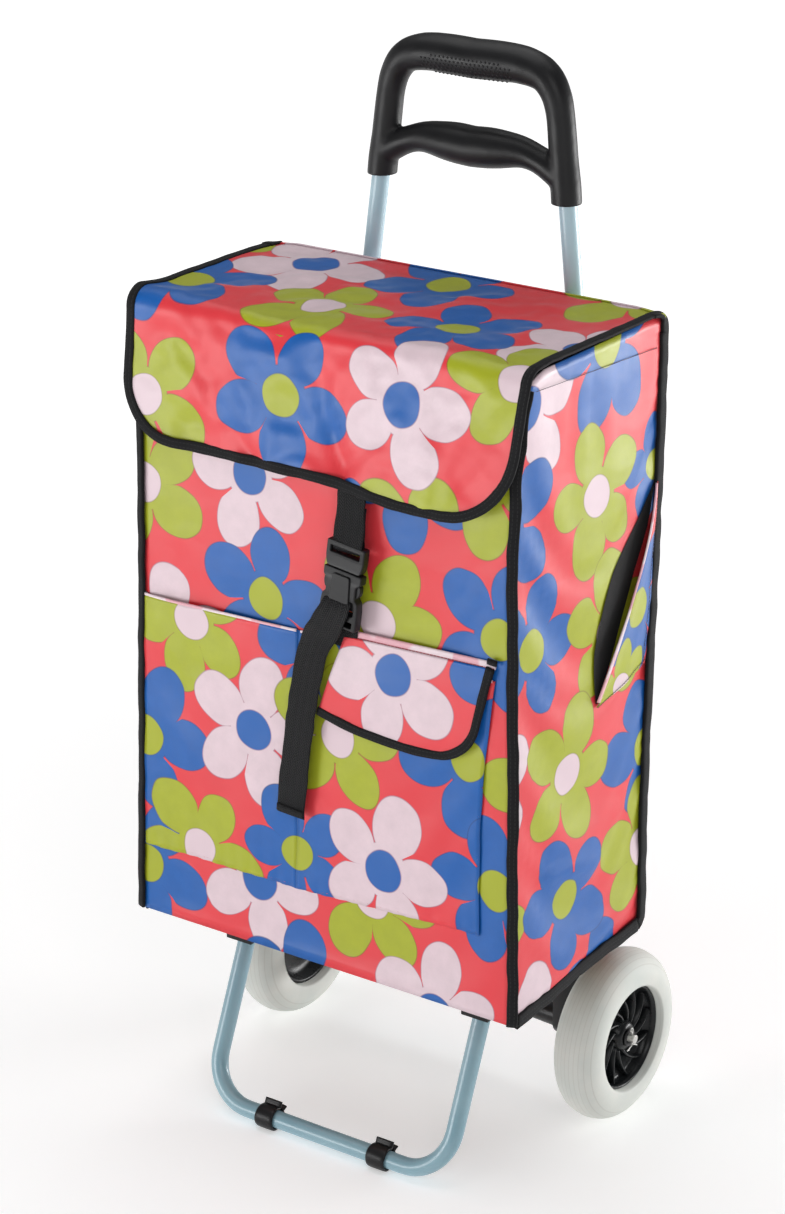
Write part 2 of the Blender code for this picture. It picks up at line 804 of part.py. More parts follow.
def make_flap(lid_axis):
    place = [fold - hinge for fold, hinge in zip(FOLD, LID_HINGE)]
    axis = frame("lid_flap_axis", lid_axis, place, -(FRONT_LEAN + FLAP_FLARE))

    def edge(inset, corner):
        half, drop = FLAP_HALF_WIDTH - inset, -FLAP_LENGTH + inset
        path = [(-half, -0.0002), (-half, drop), (half, drop), (half, -0.0002)]
        return [tuple(point) for point in rounded(path, corner, 6)]

    middle = -FLAP_FACE + 0.00075
    panel = edge(LID_BINDING + GAP, FLAP_CORNER - LID_BINDING)
    plate("lid_flap", panel, 0.0015, FLORAL, axis, (0, middle, 0), ACROSS_FRONT)
    strip = edge(0.0, FLAP_CORNER) + edge(LID_BINDING, FLAP_CORNER - LID_BINDING)[::-1]
    plate("lid_flap_binding", strip, 0.0026, BLACK_TAPE, axis, (0, middle, 0), ACROSS_FRONT)


# ---------------------------------------------------------------- strap and buckle


def make_buckle(front):
    x, up = BUCKLE_CENTRE
    axis = frame("buckle_axis", front, (x, -BUCKLE_DEPTH, up), 0.0, BUCKLE_TILT)
    half, deep = BUCKLE_WIDTH / 2, BUCKLE_THICKNESS / 2
    socket = block(
        "buckle_socket", (-half, -deep, SOCKET_BOTTOM), (half, deep, SOCKET_TOP), BLACK_PLASTIC, axis
    )
    room = PRONG_TIP - 0.0010
    cavity = block("prong_room", (-0.0160, -0.0030, room), (0.0160, 0.0030, 0.02), None, axis)
    window = block("prong_window", (-0.03, -0.0030, room), (0.03, 0.0030, 0.0010), None, axis)
    cut(socket, cavity, window)
    for low, high in ((-0.0375, -0.0335), (-0.0265, -0.0225)):
        cut(socket, block("ladder_slot", (-0.0150, -0.01, low), (0.0150, 0.01, high), None, axis))
    plug = block(
        "buckle_plug", (-half, -deep, PLUG_BOTTOM), (half, deep, PLUG_TOP), BLACK_PLASTIC, axis
    )
    cut(plug, block("plug_slot", (-0.0150, -0.01, 0.0235), (0.0150, 0.01, 0.0280), None, axis))
    for name, side in SIDES.items():
        spot = frame(f"prong_axis_{name}", axis, (side * PRONG_OUTER, 0, 0))
        reach = PRONG_OUTER - PRONG_INNER
        outline = [(0.0, -0.0005), (0.0, -0.0085), (-0.0030, PRONG_TIP), (-reach, PRONG_TIP)]
        outline += [(-reach, SOCKET_TOP), (-0.0035, SOCKET_TOP), (-0.0035, 0.0015)]
        outline = [(side * across, height) for across, height in outline]
        plate(f"buckle_prong_{name}", outline, 0.0050, BLACK_PLASTIC, spot, (0, 0, 0), ACROSS_FRONT)


def make_straps(front):
    upper = [(0.0018, 0.520), (0.0040, 0.480), (0.0070, 0.440), (0.0102, 0.4018)]
    ribbon(
        "strap_upper",
        [(STRAP_X, depth, up) for depth, up in reversed(upper)],
        WEBBING_WIDTH,
        BLACK_TAPE,
        front,
    )
    lower = [(0.0245, 0.00115, 0.3050), (0.0250, 0.0014, 0.3150), (0.0265, 0.0040, 0.3330)]
    ribbon("strap_lower", lower, WEBBING_WIDTH, BLACK_TAPE, front)
    tail = [(-0.0290, 0.00335, 0.1350), (-0.0205, 0.00335, 0.2150), (-0.0070, 0.0040, 0.2980)]
    tail += [(0.0030, 0.0058, 0.3090), (0.0150, 0.0088, 0.3215)]
    ribbon("strap_tail", tail, WEBBING_WIDTH, BLACK_TAPE, front)


def main():
    root = frame("trolley", None, (0, -Y_MIDDLE, 0))
    front = frame("bag_front_frame", root, (0, 0, BAG_BOTTOM), -FRONT_LEAN)
    back = frame("bag_back_frame", root, (0, BACK_BOTTOM_Y, BAG_BOTTOM), -BACK_LEAN)
    bpy.context.view_layer.update()
    make_uprights(root)
    make_grip(root)
    make_rails(root)
    make_brackets(root)
    make_axle(root)
    make_wheels(root)
    make_collars(root)
    make_stand(root)
    make_bag(root, front, back)
    make_loops(root)
    make_side_pocket(root)
    make_front_pockets(front)
    make_pocket_flap(front)
    make_flap(make_lid(root))
    make_buckle(front)
    make_straps(front)
    bpy.context.view_layer.update()


main()
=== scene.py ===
import math
import random

import bmesh
import bpy
import numpy as np
from mathutils import Matrix, Vector
from mathutils.bvhtree import BVHTree
from mathutils.noise import noise

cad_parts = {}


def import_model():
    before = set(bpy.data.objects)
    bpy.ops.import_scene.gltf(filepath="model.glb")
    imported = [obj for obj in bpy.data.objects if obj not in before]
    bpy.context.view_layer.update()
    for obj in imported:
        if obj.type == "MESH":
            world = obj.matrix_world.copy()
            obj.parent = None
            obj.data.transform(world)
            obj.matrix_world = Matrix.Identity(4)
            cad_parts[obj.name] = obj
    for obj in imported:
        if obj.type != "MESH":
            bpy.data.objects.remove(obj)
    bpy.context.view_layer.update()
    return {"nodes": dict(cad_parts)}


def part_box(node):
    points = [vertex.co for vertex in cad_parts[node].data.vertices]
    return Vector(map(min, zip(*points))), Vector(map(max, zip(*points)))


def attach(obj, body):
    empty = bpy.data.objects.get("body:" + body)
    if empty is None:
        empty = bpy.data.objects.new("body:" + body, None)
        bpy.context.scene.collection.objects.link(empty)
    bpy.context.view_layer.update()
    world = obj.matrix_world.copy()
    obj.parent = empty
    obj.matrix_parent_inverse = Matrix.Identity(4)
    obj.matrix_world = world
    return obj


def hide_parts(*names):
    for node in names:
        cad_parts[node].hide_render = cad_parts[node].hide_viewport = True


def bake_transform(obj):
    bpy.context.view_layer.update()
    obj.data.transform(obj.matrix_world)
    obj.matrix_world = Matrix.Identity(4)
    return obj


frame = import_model()

# Lengths are in metres. The trolley's own frame has Y = 0 at the bag's bottom front edge, and world()
# moves a point from it to the frame that the CAD nodes are in.
Y_MIDDLE = 0.1327
LEAN = math.radians(3.144)
BOTTOM = 0.184
SIDES = (("left", -1), ("right", 1))
AXLE_Y, AXLE_Z = 0.198, 0.080
TUBE_RADIUS = 0.008
CORAL = (0.77, 0.041, 0.054)
BLUE = (0.003, 0.106, 0.415)
GREEN = (0.385, 0.425, 0.014)
WHITE = (0.74, 0.58, 0.63)


def world(point):
    return Vector((point[0], point[1] - Y_MIDDLE, point[2]))


def on_front(x, up, depth=0.0):
    """A point at a height up the bag's leaning front, and a depth in front of it."""
    y = up * math.sin(LEAN) - depth * math.cos(LEAN)
    return Vector((x, y, BOTTOM + up * math.cos(LEAN) + depth * math.sin(LEAN)))


def ease(low, high, value):
    """A smooth step from 0 at low to 1 at high."""
    part = min(1.0, max(0.0, (value - low) / (high - low)))
    return part * part * (3 - 2 * part)


def rough(x, y, z, scale, seed=0.0):
    """Smooth noise from about -1 to 1."""
    return noise(Vector((x * scale + seed, y * scale - seed, z * scale + 0.5 * seed)))


# ---------------------------------------------------------------- materials


class Nodes:
    """Adds nodes to one tree. A value is a number, a tuple or another node's output."""

    def __init__(self, tree):
        self.tree = tree

    def add(self, kind, **settings):
        node = self.tree.nodes.new("ShaderNode" + kind)
        for name, value in settings.items():
            setattr(node, name, value)
        return node

    def put(self, value, socket):
        if isinstance(value, bpy.types.NodeSocket):
            self.tree.links.new(value, socket)
        else:
            socket.default_value = value

    def math(self, what, first, second=0.0, third=0.0, clamp=False):
        node = self.add("Math", operation=what, use_clamp=clamp)
        for value, socket in zip((first, second, third), node.inputs):
            self.put(value, socket)
        return node.outputs[0]

    def mix(self, share, first, second, blend="MIX"):
        node = self.add("Mix", data_type="RGBA", blend_type=blend)
        self.put(share, node.inputs[0])
        for value, socket in ((first, node.inputs[6]), (second, node.inputs[7])):
            self.put((*value, 1.0) if isinstance(value, tuple) and len(value) == 3 else value, socket)
        return node.outputs[2]

    def step(self, value, low, high, to_low=0.0, to_high=1.0):
        """A smooth step, whose ends can lie in either order."""
        node = self.add("MapRange", interpolation_type="SMOOTHSTEP")
        for item, socket in zip((value, low, high, to_low, to_high), node.inputs):
            self.put(item, socket)
        return node.outputs[0]

    def noise(self, vector, scale, detail=2.0, roughness=0.5):
        node = self.add("TexNoise")
        self.put(vector, node.inputs["Vector"])
        node.inputs["Scale"].default_value = scale
        node.inputs["Detail"].default_value = detail
        node.inputs["Roughness"].default_value = roughness
        return node.outputs["Fac"]

    def bump(self, height, strength, distance, normal=None):
        node = self.add("Bump")
        node.inputs["Strength"].default_value = strength
        node.inputs["Distance"].default_value = distance
        self.put(height, node.inputs["Height"])
        if normal is not None:
            self.put(normal, node.inputs["Normal"])
        return node.outputs[0]

    def vector(self, what, *values):
        """A sum on vectors. It gives a vector, or for LENGTH a number."""
        node = self.add("VectorMath", operation=what)
        for value, socket in zip(values, node.inputs):
            self.put(value, socket)
        return node.outputs["Value" if what == "LENGTH" else "Vector"]

    def scaled(self, vector, factors):
        return self.vector("MULTIPLY", vector, factors)

    def parts(self, vector):
        node = self.add("SeparateXYZ")
        self.put(vector, node.inputs[0])
        return node.outputs

    def cloth_place(self):
        return self.add("UVMap", uv_map="cloth").outputs[0]

    def object_place(self):
        return self.add("TexCoord").outputs["Object"]


def new_material(name, colour, roughness, metallic=0.0, **sockets):
    """A material, its node helper and the sockets of its surface."""
    material = bpy.data.materials.new(name)
    material.use_nodes = True
    material.diffuse_color = (*colour, 1.0)
    surface = material.node_tree.nodes["Principled BSDF"].inputs
    sockets |= {"Base_Color": (*colour, 1.0), "Roughness": roughness, "Metallic": metallic}
    for socket, value in sockets.items():
        surface[socket.replace("_", " ")].default_value = value
    return material, Nodes(material.node_tree), surface


def flower_group():
    """Draws one five-petalled flower over the colour below it, from a place on the cloth in metres."""
    tree = bpy.data.node_groups.new("flower", "ShaderNodeTree")
    face = tree.interface
    for name, kind in (("Place", "Vector"), ("Under", "Color"), ("Centre", "Vector"), ("Turn", "Float"),
                       ("Petal", "Color"), ("Core", "Color"), ("Seed", "Float"), ("Size", "Float")):
        face.new_socket(name, in_out="INPUT", socket_type="NodeSocket" + kind)
    face.new_socket("Colour", in_out="OUTPUT", socket_type="NodeSocketColor")
    n = Nodes(tree)
    source = tree.nodes.new("NodeGroupInput").outputs
    # a hand-drawn wobble
    wobble = n.add("TexNoise", noise_dimensions="3D")
    n.put(source["Place"], wobble.inputs["Vector"])
    wobble.inputs["Scale"].default_value = 24.0
    wobble.inputs["Detail"].default_value = 1.0
    offset = n.vector("SUBTRACT", source["Place"], source["Centre"])
    offset = n.vector("MULTIPLY_ADD", wobble.outputs["Color"], (0.0060, 0.0060, 0.0), offset)
    offset = n.vector("ADD", offset, (-0.0030, -0.0030, 0.0))
    reach = n.math("DIVIDE", n.vector("LENGTH", offset), source["Size"])
    x, y, _ = n.parts(offset)
    # five sectors, each with one petal, a little longer, wider or more bent than the next
    sector = 2 * math.pi / 5
    angle = n.math("ARCTAN2", y, x)
    turned = n.math("DIVIDE", n.math("SUBTRACT", angle, source["Turn"]), sector)
    turned = n.math("ADD", turned, 10.5)
    index = n.math("FLOORED_MODULO", n.math("FLOOR", turned), 5.0)
    within = n.math("MULTIPLY", n.math("SUBTRACT", n.math("FRACT", turned), 0.5), sector)
    chance = n.add("TexWhiteNoise", noise_dimensions="1D")
    n.put(n.math("MULTIPLY_ADD", source["Seed"], 7.31, index), chance.inputs["W"])
    long = n.math("MULTIPLY_ADD", chance.outputs["Value"], 0.16, 0.93)
    lopsided = n.add("SeparateColor")
    n.put(chance.outputs["Color"], lopsided.inputs[0])
    bend = n.math("MULTIPLY_ADD", lopsided.outputs[1], 0.24, -0.12)
    within = n.math("ADD", within, n.math("MULTIPLY", bend, reach))
    within = n.math("ADD", within, n.math("MULTIPLY_ADD", lopsided.outputs[2], 0.16, -0.08))
    along = n.math("DIVIDE", n.math("MULTIPLY", reach, n.math("COSINE", within)), long)
    across = n.math("MULTIPLY", reach, n.math("SINE", within))
    wide = n.math("MULTIPLY_ADD", lopsided.outputs[0], 0.06, 0.300)
    first = n.math("DIVIDE", n.math("SUBTRACT", along, 0.600), 0.400)
    second = n.math("DIVIDE", across, wide)
    squares = n.math("ADD", n.math("MULTIPLY", first, first), n.math("MULTIPLY", second, second))
    oval = n.math("SUBTRACT", n.math("SQRT", squares), 1.0)
    disc = n.math("MULTIPLY", n.math("SUBTRACT", reach, 0.375), 2.2)
    edge = n.math("MINIMUM", oval, disc)
    petal = n.step(edge, 0.014, -0.014)
    line = n.step(n.math("ABSOLUTE", edge), 0.034, 0.012)
    # colour laid a little unevenly
    shade = n.math("MULTIPLY_ADD", n.noise(source["Place"], 55.0, 4.0, 0.65), 0.26, 0.87)
    colour = n.mix(petal, source["Under"], n.vector("MULTIPLY", source["Petal"], shade))
    darker = n.mix(1.0, source["Petal"], (0.42, 0.24, 0.34), "MULTIPLY")
    colour = n.mix(n.math("MULTIPLY", line, 0.50), colour, darker)
    core = n.math("SUBTRACT", reach, 0.275)
    colour = n.mix(n.step(core, 0.006, -0.006), colour, source["Core"])
    core_line = n.step(n.math("ABSOLUTE", core), 0.014, 0.004)
    colour = n.mix(n.math("MULTIPLY", core_line, 0.4), colour, darker)
    sink = tree.nodes.new("NodeGroupOutput")
    n.put(colour, sink.inputs[0])
    return tree


FLOWER = flower_group()
FLOWER_SIZE = 0.067
KINDS = {"b": (BLUE, GREEN), "g": (GREEN, WHITE), "w": (WHITE, BLUE)}


def weave_bump(n, place, normal=None):
    """A plain weave of fine yarns, over any softer bumps."""
    yarns = []
    for direction in ("X", "Y"):
        wave = n.add("TexWave", wave_type="BANDS", bands_direction=direction, wave_profile="SIN")
        n.put(place, wave.inputs["Vector"])
        wave.inputs["Scale"].default_value = 330.0
        wave.inputs["Distortion"].default_value = 0.4
        yarns.append(wave.outputs["Fac"])
    woven = n.math("MULTIPLY", *yarns)
    return n.bump(woven, 0.35, 0.00022, normal)


def printed_cloth(name, flowers, seed=0):
    """Coated polyester with a large print; each flower is a kind, a place and the turn of one petal."""
    material, n, surface = new_material(name, CORAL, 0.40, Specular_IOR_Level=0.24, Coat_Weight=0.34,
                                        Coat_Roughness=0.34, Sheen_Weight=0.06, Sheen_Roughness=0.4)
    place = n.cloth_place()
    patch = n.noise(place, 9.0, 3.0)
    colour = n.mix(patch, tuple(0.93 * c for c in CORAL), tuple(min(1.0, 1.09 * c) for c in CORAL))
    for number, (kind, x, y, turn, *size) in enumerate(flowers):
        petal, core = KINDS[kind]
        flower = n.add("Group", node_tree=FLOWER)
        values = {"Place": place, "Under": colour, "Centre": (x, y, 0.0), "Turn": math.radians(turn),
                  "Petal": (*petal, 1.0), "Core": (*core, 1.0), "Seed": 3.7 * number + seed,
                  "Size": size[0] if size else FLOWER_SIZE}
        for socket, value in values.items():
            n.put(value, flower.inputs[socket])
        colour = flower.outputs[0]
    yarn = n.noise(n.scaled(place, (900.0, 900.0, 1.0)), 1.0, 2.0)
    colour = n.mix(0.10, colour, n.mix(yarn, (0.6, 0.6, 0.6), (1.0, 1.0, 1.0)), "MULTIPLY")
    n.put(colour, surface["Base Color"])
    n.put(n.math("MULTIPLY_ADD", n.noise(place, 26.0, 4.0), 0.20, 0.32), surface["Roughness"])
    crease = n.bump(n.noise(n.scaled(place, (1.0, 1.6, 1.0)), 9.0, 3.0, 0.42), 0.60, 0.006)
    n.put(weave_bump(n, place, crease), surface["Normal"])
    n.put(crease, surface["Coat Normal"])
    return material


def lining():
    """The uncoated back of the printed cloth, painted mid grey rather than its own white, as painted shade
    for the insides of the bag, pockets and lid.
    """
    material, n, surface = new_material("cloth_back", (0.42, 0.41, 0.42), 0.7, Sheen_Weight=0.1)
    place = n.cloth_place()
    # mid grey with a mottle: darker than the white back, as painted shade
    n.put(n.mix(n.noise(place, 60.0, 4.0), (0.34, 0.33, 0.34), (0.47, 0.46, 0.47)), surface["Base Color"])
    n.put(weave_bump(n, place), surface["Normal"])
    return material


def tape_cloth():
    """Black binding tape: fine cross ribs, a fold along the edge and a line of stitches."""
    material, n, surface = new_material("binding_tape", (0.008, 0.008, 0.009), 0.75,
                                        Specular_IOR_Level=0.16, Sheen_Weight=0.03, Sheen_Roughness=0.5)
    place = n.cloth_place()
    along, across, _ = n.parts(place)
    ribs = n.math("SINE", n.math("MULTIPLY", along, 2 * math.pi / 0.0011))
    fuzz = n.noise(n.scaled(place, (700.0, 700.0, 1.0)), 1.0, 3.0)
    dash = n.math("FRACT", n.math("DIVIDE", along, 0.0036))
    in_dash = n.step(n.math("ABSOLUTE", n.math("SUBTRACT", dash, 0.5)), 0.36, 0.30)
    off_line = n.math("ABSOLUTE", n.math("SUBTRACT", n.math("ABSOLUTE", across), 0.0019))
    thread = n.math("MULTIPLY", in_dash, n.step(off_line, 0.00045, 0.00025))
    height = n.math("ADD", n.math("MULTIPLY_ADD", ribs, 0.25, fuzz), n.math("MULTIPLY", thread, 1.6))
    n.put(n.bump(height, 0.6, 0.00025), surface["Normal"])
    tape = n.mix(fuzz, (0.005, 0.005, 0.006), (0.013, 0.013, 0.014))
    n.put(n.mix(thread, tape, (0.022, 0.022, 0.023)), surface["Base Color"])
    return material


def webbing_cloth():
    """Black polypropylene webbing: a coarse chevron weave that catches the light, with its raised yarns
    painted lighter as a highlight.
    """
    material, n, surface = new_material("webbing", (0.007, 0.007, 0.008), 0.45, Specular_IOR_Level=0.18)
    place = n.cloth_place()
    along, across, _ = n.parts(place)
    fold = n.math("PINGPONG", n.math("ADD", across, 0.0145), 0.0036)
    chevron = n.math("SINE", n.math("MULTIPLY", n.math("ADD", along, fold), 2 * math.pi / 0.0026))
    columns = n.math("SINE", n.math("MULTIPLY", across, 2 * math.pi / 0.0018))
    fuzz = n.noise(n.scaled(place, (900.0, 900.0, 1.0)), 1.0, 2.0)
    height = n.math("ADD", n.math("MULTIPLY", chevron, 0.5), n.math("MULTIPLY_ADD", columns, 0.3, fuzz))
    n.put(n.bump(height, 0.9, 0.0005), surface["Normal"])
    # the raised yarns are painted lighter: a painted highlight on the weave
    n.put(n.mix(n.step(height, -0.3, 1.2), (0.002, 0.002, 0.003), (0.017, 0.017, 0.018)),
          surface["Base Color"])
    n.put(n.math("MULTIPLY_ADD", fuzz, 0.3, 0.35), surface["Roughness"])
    return material


def moulded(name, colour, roughness, grain):
    """Moulded plastic: a fine grain from the mould, with duller and shinier patches."""
    material, n, surface = new_material(name, colour, roughness, Specular_IOR_Level=0.27)
    place = n.object_place()
    fine = n.noise(place, grain, 3.0)
    marks = n.noise(place, 38.0, 4.0)
    height = n.math("MULTIPLY_ADD", marks, 0.4, fine)
    normal = n.bump(height, 0.35, 0.00018)
    n.put(normal, surface["Normal"])
    n.put(n.mix(marks, tuple(0.8 * c for c in colour), tuple(1.35 * c for c in colour)),
          surface["Base Color"])
    n.put(n.math("MULTIPLY_ADD", marks, 0.22, roughness - 0.11), surface["Roughness"])
    return material


# The default colours are darkened as painted shade, for the tubes that sit low under the bag.
def powder_coat(name="powder_coat", low=(0.235, 0.40, 0.475), high=(0.285, 0.455, 0.52)):
    """Pale blue powder coat: a slight orange peel, and a few rubbed, greyer places."""
    material, n, surface = new_material(name, high, 0.30, Specular_IOR_Level=0.5, Coat_Weight=0.25,
                                        Coat_Roughness=0.18)
    place = n.object_place()
    peel = n.noise(place, 900.0, 2.0)
    soft = n.noise(place, 21.0, 4.0)
    n.put(n.bump(peel, 0.22, 0.00012), surface["Normal"])
    n.put(n.mix(n.step(soft, 0.35, 0.75), low, high), surface["Base Color"])
    n.put(n.math("MULTIPLY_ADD", soft, 0.18, 0.24), surface["Roughness"])
    return material


def tyre_foam():
    """Grey solid tyre: dull, with faint rings of mould lines and a little dust."""
    material, n, surface = new_material("tyre_foam", (0.47, 0.50, 0.475), 0.62, Specular_IOR_Level=0.35)
    place = n.object_place()
    lines = n.math("SINE", n.math("MULTIPLY", n.parts(place)[0], 2 * math.pi / 0.0042))
    grain = n.noise(place, 420.0, 4.0)
    dust = n.noise(place, 18.0, 5.0, 0.6)
    height = n.math("MULTIPLY_ADD", lines, 0.20, grain)
    n.put(n.bump(height, 0.32, 0.00025), surface["Normal"])
    shade = n.mix(n.step(dust, 0.3, 0.8), (0.60, 0.63, 0.595), (0.70, 0.70, 0.655))
    n.put(n.mix(n.step(lines, 0.8, 1.0, 0.0, 0.22), shade, (0.36, 0.33, 0.28)), surface["Base Color"])
    n.put(n.math("MULTIPLY_ADD", dust, 0.25, 0.45), surface["Roughness"])
    return material


def plated_steel(name="plated_steel", low=(0.50, 0.49, 0.46), high=(0.72, 0.72, 0.70)):
    """Steel with fine drawn marks along its length."""
    material, n, surface = new_material(name, high, 0.28, 1.0)
    place = n.object_place()
    marks = n.noise(n.scaled(place, (1.0, 60.0, 60.0)), 30.0, 4.0)
    n.put(n.bump(marks, 0.2, 0.0001), surface["Normal"])
    n.put(n.math("MULTIPLY_ADD", marks, 0.3, 0.15), surface["Roughness"])
    n.put(n.mix(n.noise(place, 60.0, 3.0), low, high), surface["Base Color"])
    return material


def pressed_board():
    """Brown board of pressed fibres."""
    material, n, surface = new_material("pressed_board", (0.26, 0.16, 0.09), 0.75)
    place = n.object_place()
    fibres = n.noise(n.scaled(place, (240.0, 700.0, 240.0)), 1.0, 4.0, 0.7)
    n.put(n.mix(fibres, (0.17, 0.10, 0.055), (0.36, 0.24, 0.14)), surface["Base Color"])
    n.put(n.bump(fibres, 0.5, 0.0003), surface["Normal"])
    return material


# Print by panel: kind, place across and up the panel's cloth, and the turn of a petal.
FRONT_PRINT = [("g", -0.195, 0.405, -33), ("w", -0.165, 0.270, 90), ("b", 0.085, 0.465, -92),
               ("w", -0.080, 0.432, -33), ("b", -0.063, 0.325, 82), ("g", 0.165, 0.480, -95),
               ("g", 0.054, 0.330, 67), ("b", 0.178, 0.343, 142), ("g", 0.234, 0.222, 180),
               ("b", 0.182, 0.120, 105), ("b", -0.195, 0.045, -10), ("w", -0.070, 0.060, -76),
               ("g", 0.053, 0.076, -55), ("b", -0.018, -0.035, 90), ("w", 0.122, -0.010, 82),
               ("g", -0.100, 0.540, 20), ("w", 0.020, 0.560, 10)]
POCKET_PRINT = [("g", -0.140, 0.290, -32), ("b", -0.192, 0.171, -6), ("w", -0.074, 0.203, 78),
                ("b", -0.195, 0.045, -10), ("g", -0.135, 0.076, 58), ("b", 0.002, 0.290, 170),
                ("g", 0.017, 0.219, -59), ("b", 0.152, 0.230, -90), ("b", -0.026, 0.099, 40, 0.060),
                ("b", 0.182, 0.120, 105), ("w", 0.067, 0.108, 74, 0.069)]
POCKET_FLAP_PRINT = [("b", 0.200, 0.302, 180), ("w", 0.077, 0.290, -31)]
SIDE_PRINT = [("w", 0.026, 0.722, -62, 0.074), ("b", 0.000, 0.625, 25), ("b", 0.147, 0.746, -48, 0.076),
              ("b", 0.222, 0.622, 172, 0.050), ("g", 0.130, 0.620, 36), ("b", 0.034, 0.511, 67),
              ("w", -0.038, 0.402, 32), ("g", 0.150, 0.495, 165), ("b", 0.210, 0.365, 175),
              ("g", -0.040, 0.275, 5), ("g", 0.088, 0.383, 69), ("g", 0.205, 0.270, 160),
              ("w", 0.030, 0.155, 90), ("b", 0.138, 0.155, 85), ("b", 0.084, 0.268, 38)]
SIDE_POCKET_PRINT = [("b", 0.184, 0.505, 60), ("g", 0.165, 0.438, 100, 0.045), ("b", 0.210, 0.365, 175),
                     ("g", 0.088, 0.383, 69), ("g", 0.205, 0.270, 160), ("b", 0.138, 0.155, 85),
                     ("b", 0.084, 0.268, 38)]
# On the lid, the second number is the distance behind the fold, or below zero the distance down the flap.
LID_PRINT = [("b", 0.038, -0.183, 90), ("g", 0.108, -0.177, 64, 0.078), ("g", -0.185, -0.087, 52),
             ("g", 0.168, 0.208, 180, 0.072), ("g", -0.250, 0.160, 20), ("w", 0.208, 0.068, 156),
             ("w", -0.125, 0.152, 0, 0.076), ("g", 0.192, -0.010, -117),
             ("g", -0.042, 0.052, 18, 0.068), ("b", 0.005, 0.168, -4, 0.070), ("b", 0.087, 0.064, 45),
             ("b", -0.185, 0.052, 38, 0.074), ("b", -0.040, -0.062, 62, 0.069),
             ("w", 0.084, -0.049, 71)]
BACK_PRINT = [("b", -0.13, 0.10, 20), ("w", 0.02, 0.06, -30), ("g", 0.15, 0.12, 60),
              ("g", -0.05, 0.19, 0), ("b", 0.08, 0.22, 80), ("w", -0.16, 0.26, 10),
              ("w", 0.17, 0.30, -60), ("b", -0.02, 0.33, 40), ("g", 0.07, 0.42, 15),
              ("g", -0.14, 0.40, -20), ("w", -0.06, 0.50, 70), ("b", 0.16, 0.48, 30),
              ("b", -0.18, 0.54, 0)]
LEFT_PRINT = [(kind, 0.22 - y, z, 180 - turn) for kind, y, z, turn, *_ in reversed(SIDE_PRINT)]

CLOTH_FRONT = printed_cloth("print_front", FRONT_PRINT)
CLOTH_POCKET = printed_cloth("print_pocket", POCKET_PRINT, 1)
CLOTH_POCKET_FLAP = printed_cloth("print_pocket_flap", POCKET_FLAP_PRINT, 2)
CLOTH_SIDE = printed_cloth("print_side", SIDE_PRINT, 3)
CLOTH_SIDE_POCKET = printed_cloth("print_side_pocket", SIDE_POCKET_PRINT, 4)
CLOTH_LEFT = printed_cloth("print_left", LEFT_PRINT, 5)
CLOTH_BACK = printed_cloth("print_back", BACK_PRINT, 6)
CLOTH_LID = printed_cloth("print_lid", LID_PRINT, 7)
LINING, TAPE, WEBBING = lining(), tape_cloth(), webbing_cloth()
GRIP = moulded("grip_plastic", (0.008, 0.008, 0.009), 0.40, 1500.0)
PLASTIC = moulded("fitting_plastic", (0.009, 0.009, 0.010), 0.36, 1100.0)
HUB = moulded("hub_plastic", (0.007, 0.008, 0.009), 0.26, 700.0)
# The powder coat on the next line is darkened as painted shade, for the rails, the cross tube and the stand
# under the bag; the lighter copy of the same coat after it is painted light, for the uprights.
SHADED_PAINT, TYRE, STEEL, BOARD = powder_coat(), tyre_foam(), plated_steel(), pressed_board()
LIT_PAINT = powder_coat("powder_coat_painted_light", (0.41, 0.60, 0.68), (0.46, 0.64, 0.71))
# a near-black copy of the steel, painted as shade for the washers in the shadowed hubs
SHADED_STEEL = plated_steel("steel_painted_shade", (0.030, 0.030, 0.031), (0.060, 0.060, 0.062))


# ---------------------------------------------------------------- shapes


def add_piece(name, data, material, body, replaced=(), slot=None, smooth=True):
    """A new piece, from a mesh in the trolley's own frame."""
    item = add_object(name, data)
    for one in material if isinstance(material, (list, tuple)) else [material]:
        data.materials.append(one)
    data.transform(Matrix.Translation((0, -Y_MIDDLE, 0)))
    if smooth:
        data.shade_smooth()
    if body:
        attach(item, body)
    if replaced:
        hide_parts(*replaced)
    return item


def add_object(name, data):
    item = bpy.data.objects.new(name, data)
    bpy.context.scene.collection.objects.link(item)
    return item


def as_evaluated(item):
    """The object's mesh with its modifiers applied; the object itself goes."""
    bpy.context.view_layer.update()
    made = bpy.data.meshes.new_from_object(item.evaluated_get(bpy.context.evaluated_depsgraph_get()))
    bpy.data.objects.remove(item, do_unlink=True)
    made.materials.clear()
    return made


def face_outwards(mesh, merge=False):
    shape = bmesh.new()
    shape.from_mesh(mesh)
    if merge:
        bmesh.ops.remove_doubles(shape, verts=shape.verts, dist=0.00001)
    bmesh.ops.recalc_face_normals(shape, faces=shape.faces)
    shape.to_mesh(mesh)
    shape.free()
    return mesh


def mesh_of(name, points, faces, places=None):
    """A mesh, with its cloth coordinates given per point."""
    mesh = bpy.data.meshes.new(name)
    mesh.from_pydata([tuple(point) for point in points], [], faces)
    if places is not None:
        layer = mesh.uv_layers.new(name="cloth")
        for loop in mesh.loops:
            layer.data[loop.index].uv = places[loop.vertex_index]
    mesh.update()
    return mesh


def grid(rows, columns, point, place):
    """A sheet of points, each from its share across and its share up."""
    points = [point(i / columns, j / rows) for j in range(rows + 1) for i in range(columns + 1)]
    places = [place(i / columns, j / rows) for j in range(rows + 1) for i in range(columns + 1)]
    wide = columns + 1
    starts = [j * wide + i for j in range(rows) for i in range(columns)]
    faces = [(start, start + 1, start + wide + 1, start + wide) for start in starts]
    return points, faces, places


def thicken(item, thickness, back=0):
    """Gives a sheet a thickness behind its face, with its back's material so many slots further on."""
    shell = item.modifiers.new("thickness", "SOLIDIFY")
    shell.thickness, shell.offset = thickness, -1.0
    shell.material_offset = back


